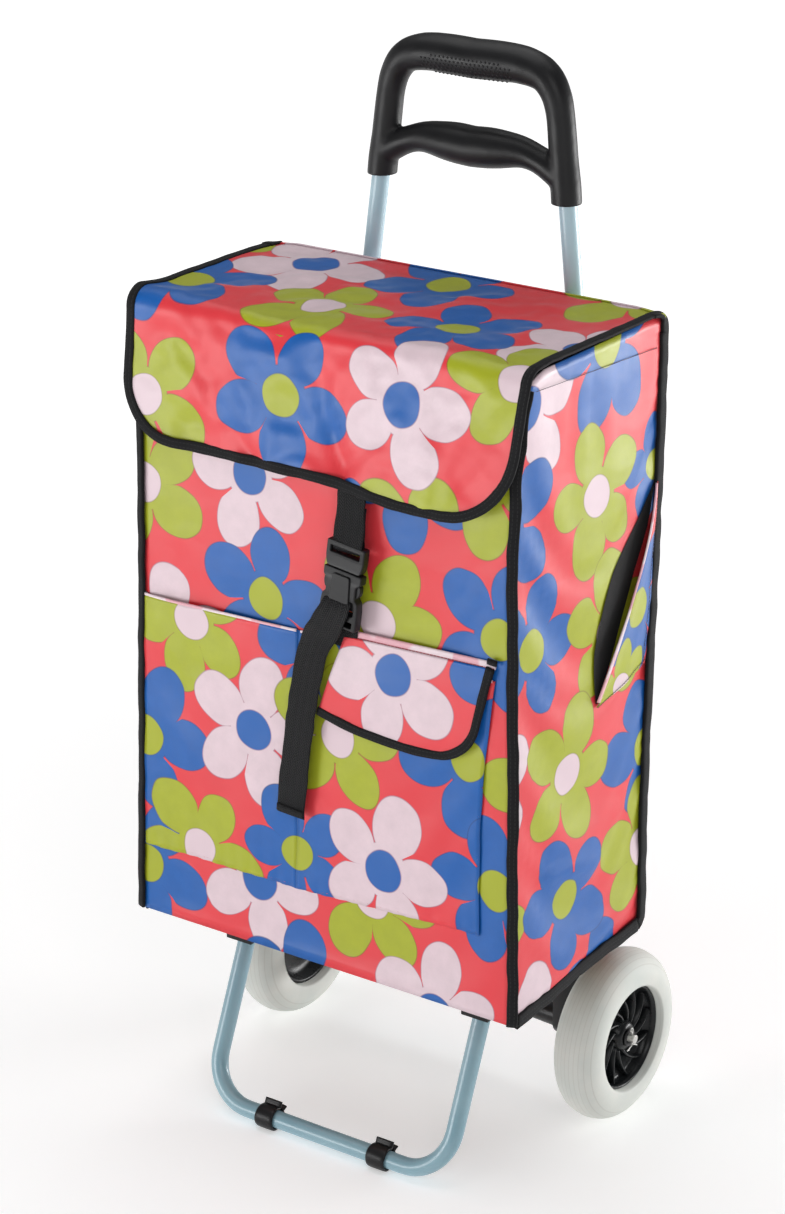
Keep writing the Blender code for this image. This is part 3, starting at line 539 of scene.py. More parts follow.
def smooth_path(points, step):
    """Points at even steps along a Catmull-Rom curve."""
    points = [Vector(point) for point in points]
    ends = [2 * points[0] - points[1], *points, 2 * points[-1] - points[-2]]
    dense = []
    for a, b, c, d in zip(ends, ends[1:], ends[2:], ends[3:]):
        count = max(2, int((c - b).length / step * 3))
        for k in range(count):
            t = k / count
            squared, cubed = 2 * a - 5 * b + 4 * c - d, 3 * b - a - 3 * c + d
            dense.append(0.5 * (2 * b + (c - a) * t + squared * t * t + cubed * t ** 3))
    dense.append(points[-1])
    return even(dense, step)


def even(points, step):
    """Points at even steps along a line of points."""
    lengths = [0.0]
    for one, other in zip(points, points[1:]):
        lengths.append(lengths[-1] + (other - one).length)
    count = max(1, round(lengths[-1] / step))
    result, index = [], 0
    for k in range(count + 1):
        want = lengths[-1] * k / count
        while index < len(points) - 2 and lengths[index + 1] < want:
            index += 1
        span = lengths[index + 1] - lengths[index] or 1.0
        result.append(points[index].lerp(points[index + 1], (want - lengths[index]) / span))
    return result


def swept(name, path, sections):
    """A skin through rings of points: each is a centre, two directions, and a list of (a, b) in metres."""
    points, places, run = [], [], 0.0
    count = len(sections[0][2])
    previous = path[0]
    for centre, (first, second, ring) in zip(path, sections):
        run += (centre - previous).length
        previous = centre
        for a, b in ring:
            points.append(centre + first * a + second * b)
            places.append((run, a))
    faces = []
    for j in range(len(path) - 1):
        for i in range(count):
            k = (i + 1) % count
            faces.append((j * count + i, j * count + k, (j + 1) * count + k, (j + 1) * count + i))
    faces.append(tuple(range(count))[::-1])
    faces.append(tuple((len(path) - 1) * count + i for i in range(count)))
    return face_outwards(mesh_of(name, points, faces, places))


def superellipse(wide, thick, power=4.0, count=14):
    """The ring of a flat band with rounded edges."""
    def rounded(size, value):
        return size / 2 * math.copysign(abs(value) ** (2 / power), value)

    turns = [2 * math.pi * (k + 0.5) / count for k in range(count)]
    return [(rounded(wide, math.cos(turn)), rounded(thick, math.sin(turn))) for turn in turns]


def tangents(path):
    last = len(path) - 1
    return [(path[min(k + 1, last)] - path[max(k - 1, 0)]).normalized() for k in range(last + 1)]


def band(name, path, normals, width, thickness, body, material, replaced=(), slot="black_tape",
         seed=1.0, wander=0.0006, inset=0.0):
    """A flat tape or strap along a path, wandering a little as sewn tape does; normals face out of it."""
    sections, centres = [], []
    for centre, along, normal in zip(path, tangents(path), normals):
        across = normal.cross(along).normalized()
        face = along.cross(across).normalized()
        drift = rough(*centre, 45.0, seed) * wander
        swell = 1.0 + 0.10 * rough(*centre, 70.0, seed + 9)
        centres.append(centre + across * (inset + drift) + face * (0.5 * drift))
        thick = thickness * (1 + 0.15 * rough(*centre, 120.0, seed + 5))
        sections.append((across, face, superellipse(width * swell, thick)))
    return add_piece(name, swept(name, centres, sections), material, body, replaced, slot)


def pipe(name, path, radii, body, material, replaced=(), slot=None, sides=32):
    """A round tube along a path, of one radius or of one at each point."""
    if not isinstance(radii, list):
        radii = [radii] * len(path)
    directions = tangents(path)
    turns = [2 * math.pi * k / sides for k in range(sides)]
    first = directions[0].orthogonal().normalized()
    sections = []
    for along, radius in zip(directions, radii):
        first = (first - along * first.dot(along)).normalized()
        ring = [(radius * math.cos(turn), radius * math.sin(turn)) for turn in turns]
        sections.append((first.copy(), along.cross(first).normalized(), ring))
    return add_piece(name, swept(name, path, sections), material, body, replaced, slot)


def turned(name, profile, steps, axis_point, body, material, replaced=(), slot=None, side=1):
    """A closed profile of (radius, distance outwards along X) turned about an axis along X."""
    points, count = [], len(profile)
    for k in range(steps):
        turn = 2 * math.pi * k / steps
        for radius, out in profile:
            arm = Vector((side * out, radius * math.cos(turn), radius * math.sin(turn)))
            points.append(Vector(axis_point) + arm)
    faces = []
    for k in range(steps):
        here, there = k * count, (k + 1) % steps * count
        faces += [(here + i, here + (i + 1) % count, there + (i + 1) % count, there + i)
                  for i in range(count)]
    return add_piece(name, face_outwards(mesh_of(name, points, faces)), material, body, replaced, slot)


def sew(name, path, normals, body, material, pitch=0.0036, lift=0.0002, radius=0.00028):
    """A row of stitches along a path: each a short thread that dives into the cloth at both ends."""
    points, faces = [], []
    route = even(path, pitch)
    spots = tangents(route)
    for centre, along in zip(route[:-1], spots):
        near = min(range(len(path)), key=lambda i: (path[i] - centre).length_squared)
        normal = normals[near]
        across = normal.cross(along).normalized()
        for j, (ahead, rise) in enumerate(((0.0, -1.0), (0.25, 0.6), (0.55, 0.6), (0.8, -1.0))):
            middle = centre + along * (ahead * pitch) + normal * (lift + rise * radius)
            for a in range(5):
                turn = 2 * math.pi * a / 5
                points.append(middle + across * (radius * math.cos(turn))
                              + normal * (radius * math.sin(turn)))
            if j:
                start = len(points) - 10
                faces += [(start + a, start + (a + 1) % 5, start + 5 + (a + 1) % 5, start + 5 + a)
                          for a in range(5)]
    mesh = mesh_of(name, points, faces, [(0.0, 0.0)] * len(points))
    return add_piece(name, mesh, material, body)


# ---------------------------------------------------------------- bag shell, by cloth simulation


HALF, DEPTH = 0.2010, 0.2035
BACK_LEAN = math.radians(2.92)
COLUMNS, SIDE_COLUMNS, ROWS = 50, 26, 72
FRONT_TOP, BACK_TOP = 0.7440, 0.7480
FRONT_HEIGHT = 0.561
CLOTH_STEPS, MOST_SLACK = 26, 0.0075
# How far each point of the front and of the right side stands out of its plane, by column and row.
BEND, SIDE_BEND = {}, {}


def wall_point(wall, across, up):
    """A point of one wall: its share across, seen from outside, and its share of the height."""
    front = Vector((0, 0, BOTTOM)).lerp(Vector((0, 0.0307, FRONT_TOP)), up)
    back = Vector((0, DEPTH, BOTTOM)).lerp(Vector((0, 0.2323, BACK_TOP)), up)
    if wall == "front":
        return Vector((HALF * (2 * across - 1), front.y, front.z))
    if wall == "back":
        return Vector((HALF * (1 - 2 * across), back.y, back.z))
    side = front.lerp(back, across if wall == "right" else 1 - across)
    return Vector((HALF if wall == "right" else -HALF, side.y, side.z))


def wall_cloth_place(wall, spot):
    """Where a point of a wall lies on its stretch of cloth."""
    return {"front": (spot.x, (spot.z - BOTTOM) / math.cos(LEAN)), "back": (-spot.x, spot.z - BOTTOM),
            "right": (spot.y, spot.z), "left": (0.22 - spot.y, spot.z)}[wall]


def bag_mesh():
    """One lofted shell: four walls round a bottom, each with its own stretch of printed cloth."""
    walls = (("front", COLUMNS), ("right", SIDE_COLUMNS), ("back", COLUMNS), ("left", SIDE_COLUMNS))
    around = sum(count for _, count in walls)
    points, faces, kinds, places = [], [], [], []
    for j in range(ROWS + 1):
        for wall, count in walls:
            points += [wall_point(wall, i / count, j / ROWS) for i in range(count)]
    start = 0
    for number, (wall, count) in enumerate(walls):
        for j in range(ROWS):
            for i in range(count):
                a, b = start + i, (start + i + 1) % around
                faces.append((j * around + a, j * around + b, (j + 1) * around + b, (j + 1) * around + a))
                kinds.append(number)
                for across, up in ((i, j), (i + 1, j), (i + 1, j + 1), (i, j + 1)):
                    places.append(wall_cloth_place(wall, wall_point(wall, across / count, up / ROWS)))
        start += count
    # the bottom, whose rim is the walls' first row
    rim = [(i, 0) for i in range(COLUMNS)] + [(COLUMNS, i) for i in range(SIDE_COLUMNS)]
    rim += [(COLUMNS - i, SIDE_COLUMNS) for i in range(COLUMNS)] + [(0, SIDE_COLUMNS - i)
                                                                    for i in range(SIDE_COLUMNS)]
    index = {spot: number for number, spot in enumerate(rim)}
    for j in range(1, SIDE_COLUMNS):
        for i in range(1, COLUMNS):
            index[(i, j)] = len(points)
            points.append(Vector((HALF * (2 * i / COLUMNS - 1), DEPTH * j / SIDE_COLUMNS, BOTTOM)))
    for j in range(SIDE_COLUMNS):
        for i in range(COLUMNS):
            corners = [(i, j), (i, j + 1), (i + 1, j + 1), (i + 1, j)]
            faces.append(tuple(index[corner] for corner in corners))
            kinds.append(2)
            places += [(points[index[corner]].x, points[index[corner]].y) for corner in corners]
    mesh = bpy.data.meshes.new("bag_shell")
    mesh.from_pydata([tuple(point) for point in points], [], faces)
    layer = mesh.uv_layers.new(name="cloth")
    for loop, place in zip(layer.data, places):
        loop.uv = place
    for polygon, kind in zip(mesh.polygons, kinds):
        polygon.material_index = kind
    mesh.update()
    return mesh, around


def normals_of(mesh):
    values = np.empty(len(mesh.vertices) * 3)
    mesh.vertex_normals.foreach_get("vector", values)
    return values.reshape(-1, 3)


def simulate_bag(mesh, around):
    """Lets the sewn cloth slacken between its seams, as an empty bag's does; returns the points."""
    rest = np.array([vertex.co[:] for vertex in mesh.vertices])
    copy = mesh.copy()
    item = add_object("bag_cloth", copy)
    held = item.vertex_groups.new(name="held")
    corners = [0, COLUMNS, COLUMNS + SIDE_COLUMNS, 2 * COLUMNS + SIDE_COLUMNS]
    pinned = {j * around + corner for j in range(ROWS + 1) for corner in corners}
    pinned |= set(range(around)) | set(range(ROWS * around, (ROWS + 1) * around))
    held.add(sorted(pinned), 1.0, "REPLACE")
    rng = random.Random(7)
    normals = normals_of(copy)
    for k, vertex in enumerate(copy.vertices):
        if k not in pinned:
            wave = rough(*vertex.co, 14.0, 3.0) * 0.003 + rng.uniform(-0.0002, 0.0002)
            vertex.co = Vector(rest[k]) + Vector(normals[k]) * wave
    cloth = item.modifiers.new("cloth", "CLOTH")
    settings = cloth.settings
    settings.quality = 6
    settings.mass = 0.25
    settings.tension_stiffness = settings.compression_stiffness = 22
    settings.shear_stiffness = 12
    settings.bending_stiffness = 0.9
    settings.vertex_group_mass = "held"
    settings.pin_stiffness = 1.0
    settings.shrink_min = -0.006
    settings.use_pressure = True
    settings.uniform_pressure_force = 0.35
    cloth.collision_settings.use_collision = False
    cloth.point_cache.frame_start, cloth.point_cache.frame_end = 1, CLOTH_STEPS
    scene = bpy.context.scene
    for step in range(1, CLOTH_STEPS + 1):
        scene.frame_set(step)
    seen = item.evaluated_get(bpy.context.evaluated_depsgraph_get())
    moved = np.array([vertex.co[:] for vertex in seen.data.vertices])
    scene.frame_set(1)
    bpy.data.objects.remove(item, do_unlink=True)
    bpy.data.meshes.remove(copy)
    return rest, moved


DRAWN_IN_RIGHT = ((0.184, 0.0), (0.382, 0.0047), (0.50, 0.0090), (0.582, 0.0115), (0.66, 0.0102),
                  (0.71, 0.0060), (0.744, 0.0010))
DRAWN_IN_LEFT = ((0.184, 0.0), (0.40, 0.0030), (0.50, 0.0045), (0.62, 0.0045), (0.70, 0.0030), (0.744, 0.0))


def drawn_in(side, z):
    """How far the soft bag's front edges draw in towards the middle, at a height."""
    stops = DRAWN_IN_RIGHT if side > 0 else DRAWN_IN_LEFT
    for (low, first), (high, last) in zip(stops, stops[1:]):
        if z <= high:
            return first + (last - first) * ease(low, high, z)
    return stops[-1][1]


def bottom_lift(x, y, up):
    """The bottom's rear corners ride up between the wheels and the frame."""
    return 0.0100 * ease(0.0, 0.13, y) * ease(0.11, 0.20, abs(x)) * (1 - ease(0.0, 0.14, up))


def slackened(mesh, around):
    rest = np.array([vertex.co[:] for vertex in mesh.vertices])
    normals = normals_of(mesh)
    rest, moved = simulate_bag(mesh, around)
    shift = np.einsum("ij,ij->i", moved - rest, normals)
    return rest, normals, MOST_SLACK * np.tanh(shift / MOST_SLACK)


def side_crease(y, z, part):
    ridge = math.exp(-((z - 0.292 + 0.2 * (y - 0.1)) / 0.008) ** 2)
    ridge *= ease(0.04, 0.07, y) * (1 - ease(0.12, 0.15, y))
    soft = math.exp(-((z - 0.335 - 0.1 * y) / 0.02) ** 2) * math.sin(math.pi * part) ** 2
    return 0.0016 * soft - 0.0034 * ridge


def shape_wall(rest, shift, k, row, column):
    """Moves one point of the walls: flat at its seams, slack between them, with its top edge bowed."""
    _, y, z = rest[k]
    up = row / ROWS
    if column < 2 * COLUMNS:
        part = (column - COLUMNS) / SIDE_COLUMNS
    else:
        part = (2 * COLUMNS + 2 * SIDE_COLUMNS - column) / SIDE_COLUMNS
    if 0 < part < 1:
        rest[k][2] += (0.0072 - 0.0050 * part) * ease(0.0, 0.12, part) * ease(0.88, 1.0, up)
    rest[k][2] += bottom_lift(rest[k][0], y, up)
    if column < COLUMNS:
        edge = math.sin(math.pi * column / COLUMNS)
        BEND[(column, row)] = shift[k] = 0.55 * shift[k] * min(1.0, 3 * edge)
    elif column < COLUMNS + SIDE_COLUMNS:
        shift[k] = 0.8 * shift[k] - side_crease(y, z, part)
        SIDE_BEND[(column - COLUMNS, row)] = shift[k]
    elif column < 2 * COLUMNS + SIDE_COLUMNS:
        shift[k] = -abs(0.5 * shift[k])


def draw_in(mesh):
    """Draws the front edges in, and takes the print along."""
    slack = []
    for vertex in mesh.vertices:
        place = vertex.co
        middle = ease(0.03, 0.20, abs(place.x)) * (1 - ease(0.0, 0.16, place.y))
        slack.append(drawn_in(place.x, place.z) * middle)
        place.x -= math.copysign(slack[-1], place.x)
    layer = mesh.uv_layers["cloth"]
    for polygon in mesh.polygons:
        for corner in polygon.loop_indices:
            k = mesh.loops[corner].vertex_index
            if polygon.material_index == 0:
                layer.data[corner].uv.x = mesh.vertices[k].co.x
            elif polygon.material_index == 1:
                layer.data[corner].uv.x -= 1.3 * slack[k]


def make_bag():
    mesh, around = bag_mesh()
    rest, normals, shift = slackened(mesh, around)
    for k, (x, y, _) in enumerate(rest.copy()):
        if k < around * (ROWS + 1):
            shape_wall(rest, shift, k, *divmod(k, around))
        else:
            shift[k] = -abs(0.4 * shift[k])
            rest[k][2] += bottom_lift(x, y, 0.0)
    for row in range(ROWS + 1):
        BEND[(COLUMNS, row)] = 0.0
    for k, vertex in enumerate(mesh.vertices):
        vertex.co = Vector(rest[k] + normals[k] * shift[k])
    draw_in(mesh)
    mesh.update()
    bag = add_piece("bag_shell", mesh, [CLOTH_FRONT, CLOTH_SIDE, CLOTH_BACK, CLOTH_LEFT, LINING],
                    "trolley", ("bag_front", "bag_back", "bag_side_left", "bag_side_right",
                                "bag_bottom"), "floral_fabric")
    thicken(bag, 0.0012, back=4)


def between_points(bend, a, b, columns):
    """A value between the points of a wall, at a column and a row that needn't be whole."""
    i, j = int(min(max(a, 0), columns - 1)), int(min(max(b, 0), ROWS - 1))
    s, t = min(max(a - i, 0), 1), min(max(b - j, 0), 1)

    def row_value(row):
        return bend.get((i, row), 0.0) * (1 - s) + bend.get((i + 1, row), 0.0) * s

    return row_value(j) * (1 - t) + row_value(j + 1) * t


def front_bend(x, up):
    """How far the front's cloth stands out of its plane at a place."""
    return between_points(BEND, (x / HALF + 1) / 2 * COLUMNS, up / FRONT_HEIGHT * ROWS, COLUMNS)


def side_bend(y, z):
    """How far the right side's cloth stands out of its plane at a place."""
    up = (z - BOTTOM) / (FRONT_TOP - BOTTOM)
    front, back = wall_point("right", 0.0, up).y, wall_point("right", 1.0, up).y
    return between_points(SIDE_BEND, (y - front) / (back - front) * SIDE_COLUMNS, up * ROWS, SIDE_COLUMNS)


def make_bindings():
    """Tape round the seams' raw edges, which stand out at the bag's corners."""
    for name, side in SIDES:
        front = []
        for k in range(100):
            z = 0.1845 + 0.5555 * k / 99
            front.append(Vector((side * (0.2022 - drawn_in(side, z)), -0.0004 + 0.0300 * k / 99, z)))
        band(f"binding_front_{name}_tape", front,
             [Vector((0.45 * side, -1, 0.05)).normalized()] * len(front), 0.0096, 0.0034, "trolley",
             TAPE, (f"binding_front_{name}",), seed=2.0 + side, wander=0.0009)
        # the back tape lies in the side's plane, and its lower corner is rounded
        x = side * 0.2024
        route = [(0.2330, 0.7360), (0.2272, 0.6200), (0.2157, 0.4500), (0.2064, 0.3000),
                 (0.2050, 0.2150), (0.2016, 0.1985), (0.1900, 0.1955), (0.1500, 0.1950),
                 (0.1050, 0.1935), (0.0550, 0.1885), (0.0060, 0.1856)]
        whole = smooth_path([(x, y, z) for y, z in route], 0.004)
        corner = Vector((x, 0.1960, 0.1962))
        cut = min(range(len(whole)), key=lambda k: (whole[k] - corner).length)
        out = [Vector((side, 0.12, -0.05)).normalized()] * len(whole)
        for edge, path in (("back", whole[:cut + 1]), ("bottom", whole[cut:])):
            band(f"binding_{edge}_{name}_tape", path, out, 0.0134, 0.0040, "trolley", TAPE,
                 (f"binding_{edge}_{name}",), seed=4.0 + side, wander=0.0009)


# ---------------------------------------------------------------- lid


FOLD_RADIUS = 0.0150
LID_BACK, LID_CORNER = (0.2268, 0.7536), (0.0288, 0.7582)
FLARE = math.radians(7.7)
FLAP_DROP = 0.1425
LID_HALF = 0.2035


def lid_line(run):
    """A point of the lid's middle line and its normal, at a run from the back over the fold and down."""
    start, corner = Vector((0, *LID_BACK)), Vector((0, *LID_CORNER))
    ahead = (corner - start).normalized()
    down = Vector((0, -math.sin(FLARE), -math.cos(FLARE)))
    turn = ahead.angle(down)
    cut = FOLD_RADIUS * math.tan(turn / 2)
    flat = (corner - start).length - cut
    arc = FOLD_RADIUS * turn
    up = Vector((0, 0, 1))
    normal = (up - ahead * up.dot(ahead)).normalized()
    if run <= flat:
        return start + ahead * run, normal
    if run <= flat + arc:
        angle = (run - flat) / FOLD_RADIUS
        centre = start + ahead * flat - normal * FOLD_RADIUS
        out = normal * math.cos(angle) + ahead * math.sin(angle)
        return centre + out * FOLD_RADIUS, out
    out = normal * math.cos(turn) + ahead * math.sin(turn)
    return corner + down * (cut + run - flat - arc), out


TOP_RUN = LID_BACK[0] - LID_CORNER[0]
FOLD_RUN = TOP_RUN - 0.3 * FOLD_RADIUS
LID_RUN = TOP_RUN - 0.60 * FOLD_RADIUS + FLAP_DROP - 0.0030


def lid_half(side, run):
    """The lid's width to one side: fuller at the flap's left, narrower at its right, corners rounded."""
    radius = 0.064 if side > 0 else 0.054
    left = LID_RUN - run
    below = ease(FOLD_RUN - 0.02, LID_RUN, run)
    fuller = 0.0030 * ease(FOLD_RUN - 0.02, FOLD_RUN + 0.07, run)
    half = LID_HALF + (-0.0085 * below if side > 0 else fuller)
    if left < radius:
        half -= radius - math.sqrt(max(0.0, radius * radius - (radius - left) ** 2))
    return half


def lid_place(across, run):
    """Where a point of the lid lies on its flat cloth: across it, and ahead from the back."""
    x = across * lid_half(across, run)
    if run > FOLD_RUN:
        run = FOLD_RUN + (run - FOLD_RUN) * (0.940 + 0.058 * ease(0.0, 0.75, across))
    return x, run


def lid_point(across, run, lift=0.0):
    """A point of the lid: across from -1 to 1."""
    x, run = lid_place(across, run)
    spot, out = lid_line(run)
    on_top = 1 - ease(FOLD_RUN - 0.03, FOLD_RUN + 0.01, run)
    below = ease(FOLD_RUN, LID_RUN, run)
    middle = 1 - across * across
    start = ease(0.0, 0.02, run)
    sag = -0.0022 * on_top * start * math.sin(math.pi * min(1.0, run / FOLD_RUN)) * middle
    near_fold = math.exp(-((run - FOLD_RUN) / 0.022) ** 2)
    fold = near_fold * (-0.0016 * middle + 0.0030 * ease(0.3, 1.0, -across)
                        + 0.0012 * math.sin(5.0 * across))
    wave = 0.0036 * below * math.sin(2.6 * across + 0.5) + 0.0040 * below * rough(x, run, 0, 12.0, 4.0)
    hang = 0.0045 * below * abs(across) ** 3
    hang -= 0.0026 * math.exp(-(run / 0.009) ** 2) * ease(0.86, 1.0, abs(across))
    valley = (x + 0.022 - 0.42 * (run - FOLD_RUN)) / 0.010
    hang -= 0.0042 * below ** 0.5 * math.exp(-valley * valley) * (1 - ease(FOLD_RUN + 0.11, LID_RUN, run))
    valley = (x + 0.150 - 0.9 * (run - FOLD_RUN - 0.03)) / 0.012
    hang -= 0.0026 * below ** 0.5 * math.exp(-valley * valley) * ease(FOLD_RUN + 0.02, FOLD_RUN + 0.04, run)
    slack = min(1.0, 4 * (1 - abs(across)) + 0.2) * start
    creases = 0.0034 * rough(x, run * 1.4, 0, 19.0, 1.0) + 0.0014 * rough(x + run, run - x, 0, 46.0, 2.0)
    creases *= slack
    return Vector((x, spot.y, spot.z)) + out * (sag + fold + wave + hang + creases + lift), out


def lid_cloth_place(across, run):
    x, run = lid_place(across, run)
    return x, FOLD_RUN - run


def hinge_blend(item):
    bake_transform(item)


def lid_blend(item):
    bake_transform(item)


def make_lid():
    """The lid and its front flap are one sheet of cloth, folded over the front edge."""
    rows, columns = 96, 80
    points, faces, cloth = grid(rows, columns, lambda i, j: lid_point(2 * i - 1, j * LID_RUN)[0],
                                lambda i, j: lid_cloth_place(2 * i - 1, j * LID_RUN))
    faces = [face[::-1] for face in faces]
    lid = add_piece("lid_cloth", mesh_of("lid_cloth", points, faces, cloth), [CLOTH_LID, LINING], None,
                    ("lid_top", "lid_flap"), "floral_fabric")
    thicken(lid, 0.0011, back=1)
    lid_blend(lid)
    make_lid_binding()
    make_lid_hinge()


def make_lid_binding():
    """Tape along the bound edge: up one side, round the flap and back up the other."""
    outline = [(-1.0, LID_RUN * k / 240) for k in range(240)]
    outline += [(-1.0 + 2.0 * k / 60, LID_RUN) for k in range(61)]
    outline += [(1.0, run) for _, run in outline[239::-1]]
    found = [lid_point(*spot) for spot in outline]
    route = [point for point, _ in found]
    dense = even(route, 0.004)
    inside = lid_point(0.0, LID_RUN - 0.066)[0]
    sections, centres = [], []
    for point, along in zip(dense, tangents(dense)):
        near = min(range(len(route)), key=lambda k: (route[k] - point).length_squared)
        out = found[near][1]
        inward = along.cross(out).normalized()
        aim = Vector((0, point.y, point.z)) if outline[near][1] < LID_RUN - 0.07 else inside
        if inward.dot(aim - point) < 0:
            inward = -inward
        swell = 1 + 0.10 * rough(*point, 60.0, 3.0)
        centres.append(point + inward * 0.0028 + out * (-0.0003 + 0.0004 * rough(*point, 80.0, 8.0)))
        sections.append((inward, out, superellipse(0.0092 * swell, 0.0034)))
    tape = add_piece("lid_edge_binding", swept("lid_edge_binding", centres, sections), TAPE, None,
                     ("lid_binding_left", "lid_binding_right", "lid_flap_binding"), "black_tape")
    lid_blend(tape)


def make_lid_hinge():
    """The back's cloth runs up and over into the lid, and so does the tape at each end."""
    line = smooth_path([(0, 0.2332, 0.7400), (0, 0.2339, 0.7465), (0, 0.2330, 0.7512), (0, 0.2302, 0.7533),
                        (0, 0.2267, 0.7536)], 0.0016)
    rows = len(line) - 1

    def point(i, j):
        spot = line[round(j * rows)]
        wave = 0.0006 * rough(i * 4, j, 0, 3.0, 1.0) * math.sin(math.pi * j)
        corner = 0.0026 * ease(0.86, 1.0, abs(2 * i - 1))
        x = (2 * i - 1) * (LID_HALF - 0.0005)
        return Vector((x, spot.y + wave - 0.4 * corner * (1 - j), spot.z - corner * j))

    def cloth_place(i, j):
        return (2 * i - 1) * LID_HALF, FOLD_RUN + 0.017 * (1 - j)

    mesh = mesh_of("lid_hinge_cloth", *grid(rows, 60, point, cloth_place))
    hinge = add_piece("lid_hinge_cloth", mesh, CLOTH_LID, None, slot="floral_fabric")
    thicken(hinge, 0.0009)
    hinge_blend(hinge)
    for name, side in SIDES:
        route = [(0.2005, 0.2130, 0.7536), (0.2009, 0.2220, 0.7526), (0.2016, 0.2286, 0.7500),
                 (0.2022, 0.2324, 0.7452), (0.2024, 0.2334, 0.7385), (0.2024, 0.2331, 0.7330)]
        path = smooth_path([(side * x, y, z) for x, y, z in route], 0.0015)
        sections = []
        for k, along in enumerate(tangents(path)):
            over = ease(0.1, 0.9, k / len(path))
            across = Vector((side * over, 0.1, 1.05 - over)).normalized().cross(along).normalized()
            sections.append((across, along.cross(across).normalized(), superellipse(0.0112, 0.0036)))
        tape = add_piece(f"lid_corner_tape_{name}", swept("tape", path, sections), TAPE, None,
                         slot="black_tape")
        hinge_blend(tape)


# ---------------------------------------------------------------- pockets


FRONT_OUT = Vector((0, -1, 0.05)).normalized()
FRONT_UP = Vector((0, 0.05, 1)).normalized()


def quad(corners, a, b):
    """A place in a four-sided pocket, whose right edge bows."""
    (x0, u0), (x1, u1), (x2, u2), (x3, u3) = corners
    low = (x0 + (x1 - x0) * a, u0 + (u1 - u0) * a)
    high = (x3 + (x2 - x3) * a, u3 + (u2 - u3) * a)
    bow = 0.0055 * math.sin(math.pi * b) * ease(0.4, 1.0, a) if x1 > 0 else 0.0
    return low[0] + (high[0] - low[0]) * b - bow, low[1] + (high[1] - low[1]) * b


POCKETS = {"left": [(-0.1955, 0.0650), (-0.0275, 0.0650), (-0.0265, 0.3050), (-0.1950, 0.3035)],
           "right": [(-0.0275, 0.0650), (0.1665, 0.0745), (0.1770, 0.3060), (-0.0265, 0.3050)]}


def pocket_depth(a, b, x, up):
    """How far a pocket's cloth stands off the bag: pinned at its seams, loose at its mouth."""
    seams = min(1.0, 9 * a) * min(1.0, 9 * (1 - a))
    puff = 0.0036 * (math.sin(math.pi * a) ** 0.7) * (0.25 + 0.75 * b) * min(1.0, 5 * b)
    pucker = 0.0007 * rough(x, up, 0, 48.0, 6.0) + 0.0016 * rough(x, up * 0.7, 0, 17.0, 8.0) * seams
    near_bottom = 0.0006 * math.sin(x * 420.0) * math.exp(-b * 14)
    return 0.0013 + front_bend(x, up) + puff + pucker + near_bottom


def front_surface(x, up):
    """How far the outermost cloth stands off the bag's front at a place."""
    corners = POCKETS["left" if x < -0.027 else "right"]
    low, high = corners[0][1] + 0.05 * max(0.0, x), corners[3][1]
    a = (x - corners[0][0]) / (corners[1][0] - corners[0][0])
    b = (up - low) / (high - low)
    if 0 < a < 1 and 0 < b < 1:
        return pocket_depth(a, b, x, up)
    return 0.0008 + front_bend(x, up)


def make_front_pockets():
    """Two patch pockets side by side, each with a rolled hem along its mouth and rows of stitches."""
    for name, corners in POCKETS.items():
        def point(a, b):
            x, up = quad(corners, a, b)
            return on_front(x, up, pocket_depth(a, b, x, up))

        mesh = mesh_of(f"pocket_{name}", *grid(52, 44, point, lambda a, b: quad(corners, a, b)))
        piece = add_piece(f"pocket_{name}_cloth", mesh, [CLOTH_POCKET, LINING], "trolley",
                          (f"front_pocket_{name}",), "floral_fabric")
        thicken(piece, -0.0007)
        # the rolled hem along the mouth, and its stitches
        shares = [k / 60 for k in range(61)]
        mouth = [0.012 + 0.976 * share for share in shares]
        pocket_hem(f"pocket_{name}_hem", [point(a, 0.998) + Vector((0, -0.0004, 0)) for a in mouth])
        side = 0.988 if name == "right" else 0.992
        seams = {"hem": [point(a, 0.958) for a in mouth], "low": [point(a, 0.012) for a in shares],
                 "side": [point(side, b) for b in shares]}
        for seam, line in seams.items():
            sew(f"pocket_{name}_{seam}_stitches", line, [FRONT_OUT] * len(line), "trolley", THREAD)


def pocket_hem(name, route):
    """The folded edge along a pocket's mouth, whose print shows paler on the roll."""
    ring = superellipse(0.0026, 0.0017, 2.4, 10)
    sections = [(-along.cross(FRONT_OUT).normalized(), FRONT_OUT, ring) for along in tangents(route)]
    add_piece(name, wall_places(swept(name, route, sections)), HEM, "trolley", slot="floral_fabric")


